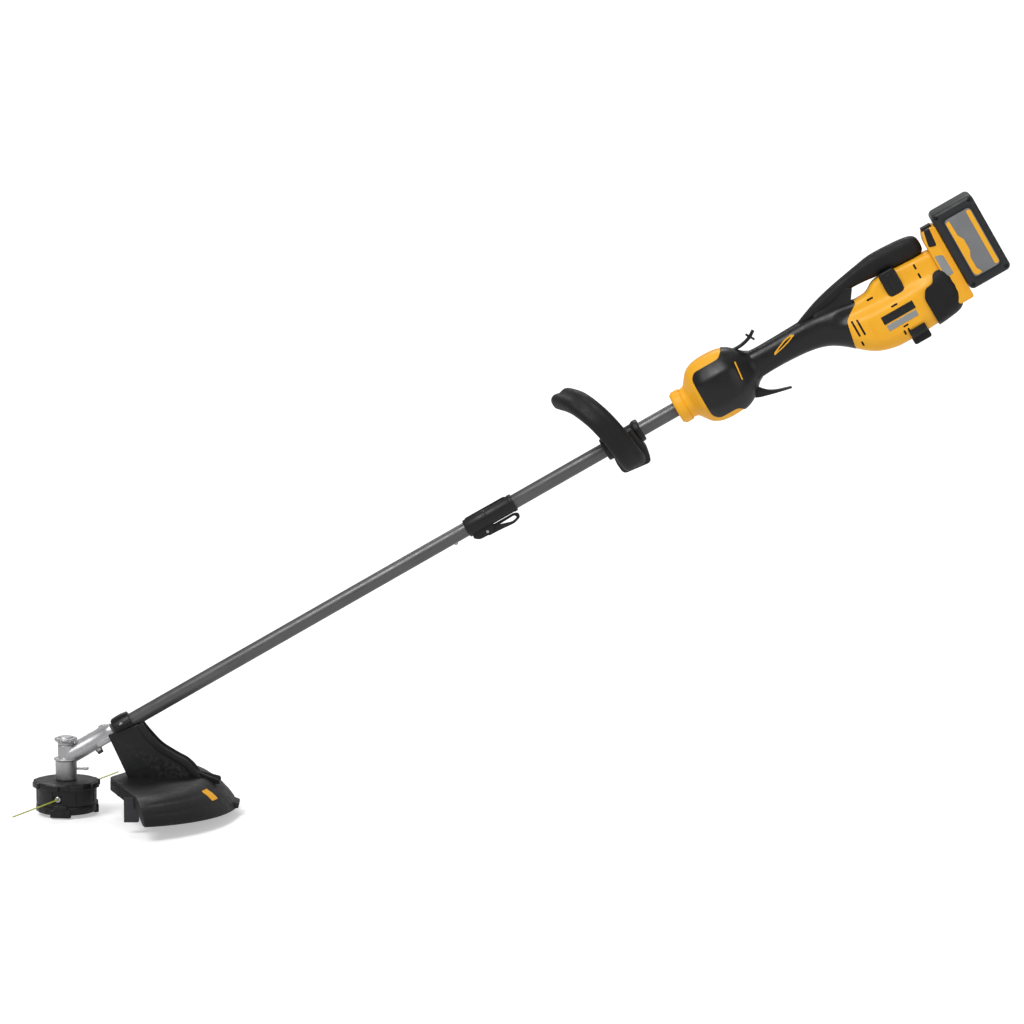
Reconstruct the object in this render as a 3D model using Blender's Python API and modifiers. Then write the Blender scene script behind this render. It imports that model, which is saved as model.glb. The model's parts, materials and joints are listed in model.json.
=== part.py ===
"""Battery string trimmer with a straight two-piece shaft, in metres, +Z up.

The origin is the middle of the bump knob's flat bottom, and +Z is the cutting head's axis. The
shaft leaves that axis at SHAFT_HEIGHT and climbs at SHAFT_TILT towards +X, where the battery is.
Pieces along the shaft are modelled in the shaft's own frame: x runs up the shaft, z is square to
it and up, and y is the same as the world's y. The user's left side is -y.
"""

import math

import bmesh
import bpy
from mathutils import Matrix, Vector

MM = 0.001
GAP = 0.3 * MM  # between pieces that touch
RUNNING_GAP = 0.5 * MM  # between pieces that turn or slide in each other
CUT_PAST = 2.0 * MM  # how far a cutter runs past the wall it cuts
BITE = 1.0 * MM  # how far shapes that become one piece run into each other

# Shaft
SHAFT_TILT = math.radians(30.0)
SHAFT_HEIGHT = 98.0 * MM  # where the shaft's line meets the head's axis
TUBE_RADIUS = 12.7 * MM
TUBE_WALL = 1.5 * MM
LOWER_TUBE_START = 60.0 * MM
LOWER_TUBE_END = 848.0 * MM
UPPER_TUBE_END = 1272.0 * MM
DRIVE_RADIUS = 4.0 * MM
SOCKET_RADIUS = 8.0 * MM
SOCKET_LENGTH = 24.0 * MM
SQUARE_SIDE = 6.0 * MM

# Cutting head
HEAD_RADIUS = 52.5 * MM
HEAD_WALL = 2.6 * MM
HEAD_TOP = 60.0 * MM
HEAD_BOTTOM = 5.0 * MM
HEAD_SPLIT = 20.0 * MM
FLANGE_RADIUS = 55.0 * MM
FLANGE_BOTTOM = 48.0 * MM
LOBE_COUNT = 8
LOBE_REACH = 58.0 * MM
TAB_COUNT = 3
TAB_BOTTOM = 1.0 * MM
KNOB_RADIUS = 17.0 * MM
SPOOL_RADIUS = 46.0 * MM
SPOOL_CORE = 20.0 * MM
SPOOL_TOP = 44.0 * MM
SPOOL_BOTTOM = 14.0 * MM
SPOOL_BORE = 8.5 * MM
BUMP_TRAVEL = 5.0 * MM
OUTPUT_RADIUS = 5.0 * MM
EYELET_HEIGHT = 34.0 * MM
EYELET_ANGLE = math.radians(258.0)
LINE_RADIUS = 1.2 * MM
LINE_REACH = 216.0 * MM
LINE_ANGLE = math.radians(249.5)

# Gear case
CASE_RADIUS = 18.5 * MM
CASE_BOTTOM = HEAD_TOP + RUNNING_GAP
CASE_RING_RADIUS = 21.0 * MM
CASE_RING = (94.0 * MM, 98.0 * MM)
CASE_NECK_RADIUS = 14.2 * MM
CASE_TOP = 121.0 * MM
CASE_BORE = 13.0 * MM
CHAMBER_BORE = 12.2 * MM
ARM_RADIUS = 14.8 * MM
ARM_END = 96.0 * MM
ARM_BORE = 11.2 * MM
CAP_RADIUS = 20.0 * MM
CAP_TOP = 136.0 * MM
PINION_TEETH = 8
GEAR_TEETH = 12
GEAR_PITCH_RADIUS = 10.6 * MM
TOOTH_TIP = 0.7 * MM
TOOTH_ROOT = 1.3 * MM
TOOTH_FACE = 6.0 * MM
LOCK_HEIGHT = 79.0 * MM
LOCK_TRAVEL = 4.0 * MM

# Guard
GUARD_RADIUS = 296.0 * MM
GUARD_TOP = 66.0 * MM
GUARD_BOTTOM = 13.0 * MM
GUARD_ROLL = 66.0 * MM  # width of the band that rolls down into the skirt
GUARD_WALL = 3.0 * MM
GUARD_LIP = 20.0 * MM
GUARD_NOSE = Vector((76.0 * MM, -8.0 * MM))
GUARD_NEAR_ANGLE = math.radians(-59.0)
GUARD_FAR_ANGLE = math.radians(47.5)
GUARD_NECK_HALF = 17.0 * MM
CUTTER_RADIUS = 214.0 * MM
GUARD_CLAMP = (99.0 * MM, 132.0 * MM)
CLAMP_RING_RADIUS = TUBE_RADIUS + 3.5 * MM
CLAMP_EAR_TOP = 5.0 * MM
CLAMP_SCREW_RADIUS = 3.2 * MM

# Coupler
SLEEVE = (802.0 * MM, 896.0 * MM)
SLEEVE_RADIUS = 15.6 * MM
LEVER_PIVOT = (832.0 * MM, -21.0 * MM)
BUTTON_PLACE = 774.0 * MM
BUTTON_RADIUS = 3.5 * MM

# Front handle
HANDLE_CLAMP = (1076.0 * MM, 1149.0 * MM)
CLAMP_RADIUS = 20.0 * MM

# Motor housing, neck and rear housing, along the shaft
COLLAR_START = 1218.0 * MM
MOTOR_END = 1366.0 * MM
SHELL_WALL = 2.5 * MM
PANEL_THICK = 2.4 * MM
STATOR = (1285.0 * MM, 1325.0 * MM)
STATOR_RADIUS = 42.0 * MM
ROTOR_RADIUS = 25.0 * MM
NECK_END = 1547.0 * MM
HOUSING_END = 1727.0 * MM
TRIGGER_PIVOT = (1352.0 * MM, -41.0 * MM)
LOCK_OFF_PIVOT = (1348.0 * MM, 41.0 * MM)
PADDLE_PIVOT = (1646.0 * MM, 27.0 * MM)
PADDLE_INNER = 24.4 * MM

# Battery and its receiver
RECEIVER_END = 1757.0 * MM
RECEIVER_HALF = 36.0 * MM
RAIL_DEPTH = 11.0 * MM
RAIL_HALF = 27.0 * MM
RAIL = (-58.0 * MM, 42.0 * MM)
BATTERY_END = 1837.0 * MM
BATTERY = (-70.0 * MM, 76.0 * MM)
BATTERY_HALF = 43.0 * MM
BATTERY_WALL = 3.0 * MM

FLAT = (0.0, 0.0, 0.0)
ALONG = (0.0, math.radians(90.0), 0.0)  # turns a piece's own z to run up the shaft
ACROSS = (math.radians(90.0), 0.0, 0.0)  # turns a piece's own z to run towards -y

# colour, roughness, metallic
LOOKS = {
    "yellow": ((0.90, 0.46, 0.02), 0.45, 0.0),
    "black": ((0.012, 0.012, 0.013), 0.55, 0.0),
    "rubber": ((0.018, 0.018, 0.019), 0.8, 0.0),
    "dark_grey": ((0.06, 0.06, 0.065), 0.5, 0.0),
    "cast": ((0.52, 0.53, 0.55), 0.45, 0.9),
    "tube": ((0.10, 0.10, 0.105), 0.45, 0.7),
    "steel": ((0.55, 0.55, 0.56), 0.3, 1.0),
    "copper": ((0.62, 0.28, 0.12), 0.35, 1.0),
    "line": ((0.66, 0.68, 0.10), 0.4, 0.0),
    "board": ((0.02, 0.18, 0.06), 0.5, 0.0),
}


# Building blocks


def clear_scene():
    for obj in list(bpy.data.objects):
        bpy.data.objects.remove(obj, do_unlink=True)


def add_collection(name):
    collection = bpy.data.collections.new(name)
    bpy.context.scene.collection.children.link(collection)
    return collection


def add_frame(name, location, rotation):
    frame = bpy.data.objects.new(name, None)
    frame.location = location
    frame.rotation_euler = rotation
    PARTS.objects.link(frame)
    return frame


def placed(data, name, frame=None, location=FLAT, rotation=FLAT):
    """A helper shape, hidden from renders until look() makes it a part."""
    obj = bpy.data.objects.new(name, data)
    obj.location = location
    obj.rotation_euler = rotation
    obj.parent = frame
    obj.hide_render = True
    obj.display_type = "WIRE"
    CUTTERS.objects.link(obj)
    return obj


def look(obj, name, finish):
    """Makes a helper shape the part of this name, with its own material."""
    colour, roughness, metallic = LOOKS[finish]
    surface = bpy.data.materials.new(name)
    surface.use_nodes = True
    shader = surface.node_tree.nodes["Principled BSDF"]
    shader.inputs["Base Color"].default_value = (*colour, 1.0)
    shader.inputs["Roughness"].default_value = roughness
    shader.inputs["Metallic"].default_value = metallic
    obj.data.materials.clear()
    obj.data.materials.append(surface)
    obj.name = name
    obj.hide_render = False
    obj.display_type = "TEXTURED"
    CUTTERS.objects.unlink(obj)
    PARTS.objects.link(obj)
    return obj


def mesh_from(name, build, smooth=False, closed=True):
    """A mesh that build(bm) fills. An open one keeps the normals that build gives it."""
    mesh = bpy.data.meshes.new(name)
    bm = bmesh.new()
    build(bm)
    if closed:
        bmesh.ops.recalc_face_normals(bm, faces=bm.faces)
    bm.to_mesh(mesh)
    bm.free()
    if smooth:
        mesh.shade_smooth()
        mesh.set_sharp_from_angle(angle=math.radians(35.0))
    return mesh


def box(name, low, high, frame=None, bevel=0.0):
    """A box between two corners, with its edges rounded where bevel is given."""
    low, high = Vector(low), Vector(high)

    def build(bm):
        bmesh.ops.create_cube(bm, size=1.0)
        bmesh.ops.scale(bm, vec=high - low, verts=bm.verts)
        bmesh.ops.translate(bm, vec=(low + high) / 2, verts=bm.verts)

    obj = placed(mesh_from(name, build), name, frame)
    if bevel:
        rounded(obj, bevel)
    return obj


def rounded(obj, width, segments=2):
    modifier = obj.modifiers.new("rounded edges", "BEVEL")
    modifier.width = width
    modifier.segments = segments
    modifier.limit_method = "ANGLE"
    modifier.angle_limit = math.radians(40.0)
    return obj


def rod(name, radius, start, end, frame=None, location=FLAT, rotation=FLAT, sides=20):
    """A cylinder from start to end along its own z."""

    def build(bm):
        bmesh.ops.create_cone(
            bm,
            cap_ends=True,
            segments=sides,
            radius1=radius,
            radius2=radius,
            depth=end - start,
            matrix=Matrix.Translation((0.0, 0.0, (start + end) / 2)),
        )

    return placed(mesh_from(name, build, smooth=True), name, frame, location, rotation)


def turned(name, profile, frame=None, location=FLAT, rotation=FLAT, steps=24, ring=False):
    """A turned shape. The profile's (radius, height) points run down its outer side."""
    mesh = bpy.data.meshes.new(name)
    points = [(radius, 0.0, height) for radius, height in profile]
    edges = [(i, i + 1) for i in range(len(points) - 1)]
    if ring:
        edges.append((len(points) - 1, 0))
    mesh.from_pydata(points, edges, [])
    obj = placed(mesh, name, frame, location, rotation)
    modifier = obj.modifiers.new("turned", "SCREW")
    modifier.steps = steps
    modifier.render_steps = steps
    modifier.use_merge_vertices = True
    modifier.merge_threshold = 0.00001
    return obj


def pipe(name, outer, inner, start, end, frame=None, location=FLAT, rotation=FLAT, steps=24):
    profile = [(outer, end), (outer, start), (inner, start), (inner, end)]
    return turned(name, profile, frame, location, rotation, steps, ring=True)


def plate(name, outline, thickness, frame=None, location=FLAT, rotation=ACROSS):
    """A flat outline of (x, z) points, as thick as given and centred on y = 0 of its place."""
    curve = bpy.data.curves.new(name, "CURVE")
    curve.dimensions = "2D"
    curve.fill_mode = "BOTH"
    curve.extrude = thickness / 2
    spline = curve.splines.new("POLY")
    spline.points.add(len(outline) - 1)
    for point, (x, z) in zip(spline.points, outline):
        point.co = (x, z, 0.0, 1.0)
    spline.use_cyclic_u = True
    return meshed(placed(curve, name, frame, location, rotation))


def wire(name, points, radius, frame=None, location=FLAT, resolution=2):
    """A round wire through the points."""
    curve = bpy.data.curves.new(name, "CURVE")
    curve.dimensions = "3D"
    curve.bevel_depth = radius
    curve.bevel_resolution = resolution
    curve.use_fill_caps = True
    spline = curve.splines.new("POLY")
    spline.points.add(len(points) - 1)
    for point, place in zip(spline.points, points):
        point.co = (*place, 1.0)
    return meshed(placed(curve, name, frame, location))


def meshed(curve_obj):
    """The same shape as a closed mesh, which a Boolean can cut or join."""
    bpy.context.view_layer.update()
    graph = bpy.context.evaluated_depsgraph_get()
    mesh = bpy.data.meshes.new_from_object(curve_obj.evaluated_get(graph))
    bm = bmesh.new()
    bm.from_mesh(mesh)
    bmesh.ops.remove_doubles(bm, verts=bm.verts, dist=0.00001)
    bmesh.ops.recalc_face_normals(bm, faces=bm.faces)
    bm.to_mesh(mesh)
    bm.free()
    name, frame = curve_obj.name, curve_obj.parent
    location, rotation = curve_obj.location.copy(), curve_obj.rotation_euler.copy()
    bpy.data.objects.remove(curve_obj, do_unlink=True)
    return placed(mesh, name, frame, location, rotation)


def boolean(obj, operation, others):
    for other in others:
        modifier = obj.modifiers.new(operation.lower(), "BOOLEAN")
        modifier.operation = operation
        modifier.object = other
    return obj


def joined(obj, *others):
    return boolean(obj, "UNION", others)


def cut(obj, *others):
    return boolean(obj, "DIFFERENCE", others)


def many(name, shape, matrices, frame=None):
    """One helper that holds a copy of a box-like shape at each matrix."""

    def build(bm):
        for matrix in matrices:
            before = set(bm.verts)
            bm.from_mesh(shape.data)
            new = [vert for vert in bm.verts if vert not in before]
            bmesh.ops.transform(bm, matrix=matrix, verts=new)

    group = placed(mesh_from(name, build), name, frame)
    bpy.data.objects.remove(shape, do_unlink=True)
    return group


def superellipse(half_y, half_z, power, angles):
    """(y, z) points of a rounded section; power 2 is an ellipse, and more is squarer."""
    points = []
    for angle in angles:
        y, z = math.sin(angle), math.cos(angle)
        points.append(
            (
                half_y * math.copysign(abs(y) ** (2.0 / power), y),
                half_z * math.copysign(abs(z) ** (2.0 / power), z),
            )
        )
    return points


def loft(name, rings, frame=None, closed=True, flip=False):
    """A skin over rings of equally many points. A closed one is capped at both ends.

    An open one faces the way that its points' order crossed with its rings' order points.
    """

    def build(bm):
        rows = [[bm.verts.new(point) for point in ring] for ring in rings]
        count = len(rows[0])
        for low, high in zip(rows, rows[1:]):
            for i in range(count if closed else count - 1):
                j = (i + 1) % count
                face = (low[i], low[j], high[j], high[i])
                bm.faces.new(reversed(face) if flip else face)
        if closed:
            bm.faces.new(rows[0])
            bm.faces.new(rows[-1])

    return placed(mesh_from(name, build, smooth=True, closed=closed), name, frame)


def thickened(obj, wall, outwards=False):
    modifier = obj.modifiers.new("wall", "SOLIDIFY")
    modifier.thickness = wall
    modifier.offset = 1.0 if outwards else -1.0
    modifier.use_even_offset = True
    return obj


def between(value, table):
    """The table's second number at this value of its first, on straight lines."""
    if value <= table[0][0]:
        return table[0][1]
    for (x0, y0), (x1, y1) in zip(table, table[1:]):
        if value <= x1:
            return y0 + (y1 - y0) * (value - x0) / (x1 - x0)
    return table[-1][1]


def steps_between(start, end, count):
    return [start + (end - start) * i / count for i in range(count + 1)]


# Cutting head


def tube_inner():
    return TUBE_RADIUS - TUBE_WALL


def radial(angle, radius, height):
    """Turns a piece's own z to point outwards at this angle, at this radius."""
    outward = Matrix.Rotation(angle, 4, "Z") @ Matrix.Rotation(math.radians(90.0), 4, "Y")
    place = Matrix.Translation((radius * math.cos(angle), radius * math.sin(angle), height))
    return place @ outward


def at_matrix(obj, matrix):
    obj.location = matrix.to_translation()
    obj.rotation_euler = matrix.to_euler()
    return obj


def eyelet_hole(name, angle):
    reach = HEAD_RADIUS + CUT_PAST
    hole = rod(name, 4.5 * MM + GAP, -HEAD_WALL - CUT_PAST * 3, CUT_PAST * 2)
    return at_matrix(hole, radial(angle, reach - CUT_PAST, EYELET_HEIGHT))


def hub_foot():
    """Where the housing's hub ends, clear of the spool when it is bumped up."""
    return SPOOL_TOP + BUMP_TRAVEL + 3.0 * MM


def add_head_housing():
    drum_inner = HEAD_RADIUS - HEAD_WALL
    plate_under = HEAD_TOP - 3.0 * MM
    hub = 9.0 * MM
    hub_bottom = hub_foot()
    bore = OUTPUT_RADIUS + GAP
    profile = [
        (bore, HEAD_TOP),
        (FLANGE_RADIUS - 3.0 * MM, HEAD_TOP),
        (FLANGE_RADIUS, HEAD_TOP - 3.0 * MM),
        (FLANGE_RADIUS, FLANGE_BOTTOM),
        (HEAD_RADIUS, FLANGE_BOTTOM),
        (HEAD_RADIUS, HEAD_SPLIT + GAP),
        (drum_inner, HEAD_SPLIT + GAP),
        (drum_inner, plate_under),
        (hub, plate_under),
        (hub, hub_bottom),
        (bore, hub_bottom),
    ]
    housing = turned("head_drum", profile, steps=40, ring=True)
    half_width = 13.0 * MM
    lobe = box(
        "lobe",
        (HEAD_RADIUS - BITE, -half_width, FLANGE_BOTTOM + BITE),
        (LOBE_REACH, half_width, HEAD_TOP - 2.0 * MM),
    )
    turns = [Matrix.Rotation(math.tau * (i + 0.5) / LOBE_COUNT, 4, "Z") for i in range(LOBE_COUNT)]
    joined(housing, many("lobes", lobe, turns))
    cut(housing, *(eyelet_hole(f"eyelet_hole_{i}", EYELET_ANGLE + math.pi * i) for i in range(2)))
    return look(housing, "head_housing", "black")


def add_head_cover():
    inner = HEAD_RADIUS - HEAD_WALL
    chamfer = 4.0 * MM
    floor = HEAD_BOTTOM + 3.0 * MM
    hole = KNOB_RADIUS + RUNNING_GAP
    profile = [
        (inner, HEAD_SPLIT),
        (HEAD_RADIUS, HEAD_SPLIT),
        (HEAD_RADIUS, HEAD_BOTTOM + chamfer),
        (HEAD_RADIUS - chamfer, HEAD_BOTTOM),
        (hole, HEAD_BOTTOM),
        (hole, floor),
        (inner - chamfer, floor),
        (inner, floor + chamfer),
    ]
    cover = turned("cover_ring", profile, steps=40, ring=True)
    half_width = 18.0 * MM
    tab = box(
        "tab",
        (HEAD_RADIUS - 9.0 * MM, -half_width, TAB_BOTTOM),
        (HEAD_RADIUS + 1.2 * MM, half_width, HEAD_SPLIT - 3.0 * MM),
    )
    first = math.radians(262.0)
    turns = [Matrix.Rotation(first + math.tau * i / TAB_COUNT, 4, "Z") for i in range(TAB_COUNT)]
    joined(cover, many("tabs", tab, turns))
    inside = rod("tab_trim", inner, floor + BITE, HEAD_SPLIT + CUT_PAST, sides=40)
    cut(cover, inside)
    return look(cover, "head_cover", "black")


def add_spool():
    flange = 2.0 * MM
    profile = [
        (SPOOL_BORE, SPOOL_TOP),
        (SPOOL_RADIUS, SPOOL_TOP),
        (SPOOL_RADIUS, SPOOL_TOP - flange),
        (SPOOL_CORE, SPOOL_TOP - flange),
        (SPOOL_CORE, SPOOL_BOTTOM + flange),
        (SPOOL_RADIUS, SPOOL_BOTTOM + flange),
        (SPOOL_RADIUS, SPOOL_BOTTOM),
        (SPOOL_BORE, SPOOL_BOTTOM),
    ]
    look(turned("spool", profile, ring=True), "spool", "yellow")
    wound = 39.0 * MM
    low, high = SPOOL_BOTTOM + flange + GAP, SPOOL_TOP - flange - GAP
    look(pipe("wound_line", wound, SPOOL_CORE + GAP, low, high), "wound_line", "line")
    knob_top = SPOOL_BOTTOM - GAP
    knob = turned(
        "bump_knob",
        [
            (0.0, knob_top),
            (KNOB_RADIUS, knob_top),
            (KNOB_RADIUS, 3.0 * MM),
            (KNOB_RADIUS - 3.0 * MM, 0.0),
            (0.0, 0.0),
        ],
    )
    look(knob, "bump_knob", "black")
    washer_bottom = SPOOL_TOP + GAP
    washer = pipe("thrust_washer", 12.0 * MM, SPOOL_BORE, washer_bottom, washer_bottom + 1.0 * MM)
    look(washer, "thrust_washer", "steel")


def add_bump_spring():
    turns, points_per_turn = 3, 12
    radius, gauge = 13.5 * MM, 0.8 * MM
    low = SPOOL_TOP + GAP + 1.0 * MM + GAP + gauge
    high = HEAD_TOP - 3.0 * MM - GAP - gauge
    count = turns * points_per_turn
    points = []
    for i in range(count + 1):
        angle = math.tau * i / points_per_turn
        height = low + (high - low) * i / count
        points.append((radius * math.cos(angle), radius * math.sin(angle), height))
    look(wire("bump_spring", points, gauge, resolution=1), "bump_spring", "steel")


def add_lines_and_eyelets():
    bore = LINE_RADIUS + GAP
    for i, side in enumerate(("near", "far")):
        angle = EYELET_ANGLE + math.pi * i
        profile = [
            (bore, 3.0 * MM),
            (5.8 * MM, 3.0 * MM),
            (5.8 * MM, GAP),
            (4.5 * MM, GAP),
            (4.5 * MM, -HEAD_WALL),
            (bore, -HEAD_WALL),
        ]
        eyelet = turned(f"eyelet_{side}", profile, steps=16, ring=True)
        matrix = radial(angle, HEAD_RADIUS, EYELET_HEIGHT)
        look(at_matrix(eyelet, matrix), f"eyelet_{side}", "steel")
        hole = matrix.to_translation()
        bend = hole + Vector((math.cos(angle), math.sin(angle), 0.0)) * 5.0 * MM
        swing = LINE_ANGLE + math.pi * i
        end = Vector((math.cos(swing), math.sin(swing), 0.0)) * LINE_REACH
        end.z = EYELET_HEIGHT
        start = hole - Vector((math.cos(angle), math.sin(angle), 0.0)) * 6.0 * MM
        ease = bend + (end - bend) * 0.05
        line = wire(f"trim_line_{side}", [start, bend, ease, end], LINE_RADIUS)
        look(line, f"trim_line_{side}", "line")


# Gear case


def bevel_angles():
    """Half angles of the pinion's and the gear's pitch cones, whose apex is where the axes meet."""
    between_axes = math.radians(90.0) - SHAFT_TILT
    ratio = GEAR_TEETH / PINION_TEETH
    pinion = math.atan2(math.sin(between_axes), ratio + math.cos(between_axes))
    return pinion, between_axes - pinion


def toothed_cone(name, teeth, half_angle, cone_length, back, first_tooth):
    """A bevel gear on its own +z axis, with its apex at the origin and its teeth facing it."""

    def ring(distance, height):
        pitch = distance * math.sin(half_angle)
        share = pitch / (cone_length * math.sin(half_angle))
        points = []
        for tooth in range(teeth):
            for part, lift in ((-0.32, -TOOTH_ROOT), (-0.12, TOOTH_TIP), (0.12, TOOTH_TIP), (0.32, -TOOTH_ROOT)):
                angle = first_tooth + math.tau * (tooth + part) / teeth
                radius = pitch + lift * share
                points.append((radius * math.cos(angle), radius * math.sin(angle), height))
        return points

    inner = cone_length - TOOTH_FACE
    near, far = inner * math.cos(half_angle), cone_length * math.cos(half_angle)
    rings = [ring(inner, near), ring(cone_length, far), ring(cone_length, far + back)]
    return loft(name, rings)


def add_gears():
    pinion_angle, gear_angle = bevel_angles()
    cone_length = GEAR_PITCH_RADIUS / math.sin(gear_angle)
    gear = toothed_cone("bevel_gear", GEAR_TEETH, gear_angle, cone_length, 2.0 * MM, math.pi / GEAR_TEETH)
    gear.location = (0.0, 0.0, SHAFT_HEIGHT)
    bore = rod("gear_bore", OUTPUT_RADIUS + GAP, SHAFT_HEIGHT, CASE_TOP + CUT_PAST)
    look(cut(gear, bore), "bevel_gear", "steel")
    # On the shaft's own axis, a piece's -x points up, where the two cones touch.
    pinion = toothed_cone("bevel_pinion", PINION_TEETH, pinion_angle, cone_length, 3.0 * MM, math.pi)
    pinion.parent = SHAFT
    pinion.rotation_euler = ALONG
    shaft_hole = rod("pinion_bore", DRIVE_RADIUS + GAP, 0.0, 60.0 * MM, SHAFT, rotation=ALONG)
    look(cut(pinion, shaft_hole), "bevel_pinion", "steel")


def add_output_shaft():
    nut_top = hub_foot() - GAP
    nut_bottom = nut_top - 4.0 * MM
    nut_radius = OUTPUT_RADIUS + 2.5 * MM
    top = CAP_TOP - 8.0 * MM
    profile = [
        (0.0, top),
        (OUTPUT_RADIUS, top),
        (OUTPUT_RADIUS, nut_top),
        (nut_radius, nut_top),
        (nut_radius, nut_bottom),
        (OUTPUT_RADIUS, nut_bottom),
        (OUTPUT_RADIUS, SPOOL_BOTTOM + BUMP_TRAVEL + 2.0 * MM),
        (0.0, SPOOL_BOTTOM + BUMP_TRAVEL + 2.0 * MM),
    ]
    look(turned("output_shaft", profile), "output_shaft", "steel")
    bearing = pipe(
        "output_bearing", CASE_BORE - GAP, OUTPUT_RADIUS + GAP, CASE_BOTTOM + 2.0 * MM, CASE_BOTTOM + 10.0 * MM
    )
    look(bearing, "output_bearing", "steel")


def add_gear_case():
    ring_low, ring_high = CASE_RING
    body = turned(
        "case_body",
        [
            (0.0, CASE_TOP + BITE),
            (CASE_NECK_RADIUS, CASE_TOP + BITE),
            (CASE_NECK_RADIUS, ring_high),
            (CASE_RING_RADIUS, ring_high),
            (CASE_RING_RADIUS, ring_low),
            (CASE_RADIUS, ring_low),
            (CASE_RADIUS, CASE_BOTTOM),
            (0.0, CASE_BOTTOM),
        ],
    )
    arm = rod("case_arm", ARM_RADIUS, 4.0 * MM, ARM_END, SHAFT, rotation=ALONG, sides=24)
    ridge = box("case_ridge", (28.0 * MM, -3.5 * MM, ARM_RADIUS - 3.0 * MM), (92.0 * MM, 3.5 * MM, 16.6 * MM), SHAFT)
    boss = rod("case_boss", 6.0 * MM, -18.5 * MM, -ARM_RADIUS + 4.0 * MM, SHAFT, (57.0 * MM, 0.0, 0.0), sides=16)
    joined(body, arm, ridge, boss)
    chamber = turned(
        "case_chamber",
        [
            (0.0, CAP_TOP),
            (CASE_NECK_RADIUS + GAP, CAP_TOP),
            (CASE_NECK_RADIUS + GAP, CASE_TOP),
            (CHAMBER_BORE, CASE_TOP),
            (CHAMBER_BORE, 83.0 * MM),
            (CASE_BORE, 83.0 * MM),
            (CASE_BORE, CASE_BOTTOM - CUT_PAST),
            (0.0, CASE_BOTTOM - CUT_PAST),
        ],
    )
    seat = LOWER_TUBE_START - GAP
    arm_bore = turned(
        "arm_bore",
        [
            (0.0, ARM_END + CUT_PAST),
            (TUBE_RADIUS + GAP, ARM_END + CUT_PAST),
            (TUBE_RADIUS + GAP, seat),
            (ARM_BORE, seat),
            (ARM_BORE, 0.0),
            (0.0, 0.0),
        ],
        SHAFT,
        rotation=ALONG,
    )
    slot_half, slot_tall = 3.0 * MM + RUNNING_GAP, 1.8 * MM + RUNNING_GAP
    slot = box(
        "lock_slot",
        (CASE_BORE - BITE, -slot_half, LOCK_HEIGHT - slot_tall),
        (CASE_RADIUS + CUT_PAST, slot_half, LOCK_HEIGHT + slot_tall),
    )
    cut(body, chamber, arm_bore, slot)
    return look(body, "gear_case", "cast")


def add_gear_case_trim():
    foot = CASE_TOP + GAP
    cap = turned(
        "cap",
        [
            (0.0, CAP_TOP),
            (CAP_RADIUS - 2.0 * MM, CAP_TOP),
            (CAP_RADIUS, CAP_TOP - 2.0 * MM),
            (CAP_RADIUS, CAP_TOP - 6.0 * MM),
            (CASE_NECK_RADIUS, CAP_TOP - 9.0 * MM),
            (CASE_NECK_RADIUS, foot),
            (0.0, foot),
        ],
    )
    notch = box("notch", (CAP_RADIUS - 3.0 * MM, -2.5 * MM, CAP_TOP - 8.0 * MM), (CAP_RADIUS + CUT_PAST, 2.5 * MM, CAP_TOP + CUT_PAST))
    turns = [Matrix.Rotation(math.tau * i / 8, 4, "Z") for i in range(8)]
    journal = rod("journal", OUTPUT_RADIUS + RUNNING_GAP, CASE_TOP - CUT_PAST, CAP_TOP - 7.0 * MM)
    look(cut(cap, many("notches", notch, turns), journal), "gear_case_cap", "cast")
    drop = -18.5 * MM - GAP
    bolt = rod("gear_case_bolt", 5.0 * MM, drop - 4.5 * MM, drop, SHAFT, (57.0 * MM, 0.0, 0.0), sides=6)
    look(bolt, "gear_case_bolt", "steel")
    top = 16.6 * MM + GAP
    screw = rod("arm_screw", 4.2 * MM, top, top + 3.2 * MM, SHAFT, (80.0 * MM, 0.0, 0.0), sides=16)
    look(screw, "arm_screw", "steel")
    bar = box(
        "spindle_lock",
        (OUTPUT_RADIUS + RUNNING_GAP + LOCK_TRAVEL, -3.0 * MM, LOCK_HEIGHT - 1.8 * MM),
        (39.0 * MM, 3.0 * MM, LOCK_HEIGHT + 1.8 * MM),
        bevel=0.8 * MM,
    )
    look(bar, "spindle_lock", "cast")
    bearing = pipe(
        "pinion_bearing", ARM_BORE - GAP, DRIVE_RADIUS + GAP, 34.0 * MM, 42.0 * MM, SHAFT, rotation=ALONG
    )
    look(bearing, "pinion_bearing", "steel")


# Guard


def guard_height(radius):
    """The outer surface's height: flat, then a quarter wave down to the skirt's foot."""
    past = max(0.0, radius - (GUARD_RADIUS - GUARD_ROLL)) / GUARD_ROLL
    return GUARD_BOTTOM + (GUARD_TOP - GUARD_BOTTOM) * math.cos(past * math.pi / 2) ** 0.8


def on_circle(angle, radius=GUARD_RADIUS):
    return Vector((radius * math.cos(angle), radius * math.sin(angle)))


def guard_front(angle):
    """How far from the head's axis the guard's front edge lies in this direction."""
    near, far = on_circle(GUARD_NEAR_ANGLE), on_circle(GUARD_FAR_ANGLE)
    turn = GUARD_NOSE.y / GUARD_NOSE.x
    corner = near if math.tan(angle) < turn else far
    edge = corner - GUARD_NOSE
    ray = Vector((math.cos(angle), math.sin(angle)))
    reach = (GUARD_NOSE.x * edge.y - GUARD_NOSE.y * edge.x) / (ray.x * edge.y - ray.y * edge.x)
    return min(reach, GUARD_RADIUS - 6.0 * MM)


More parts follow.
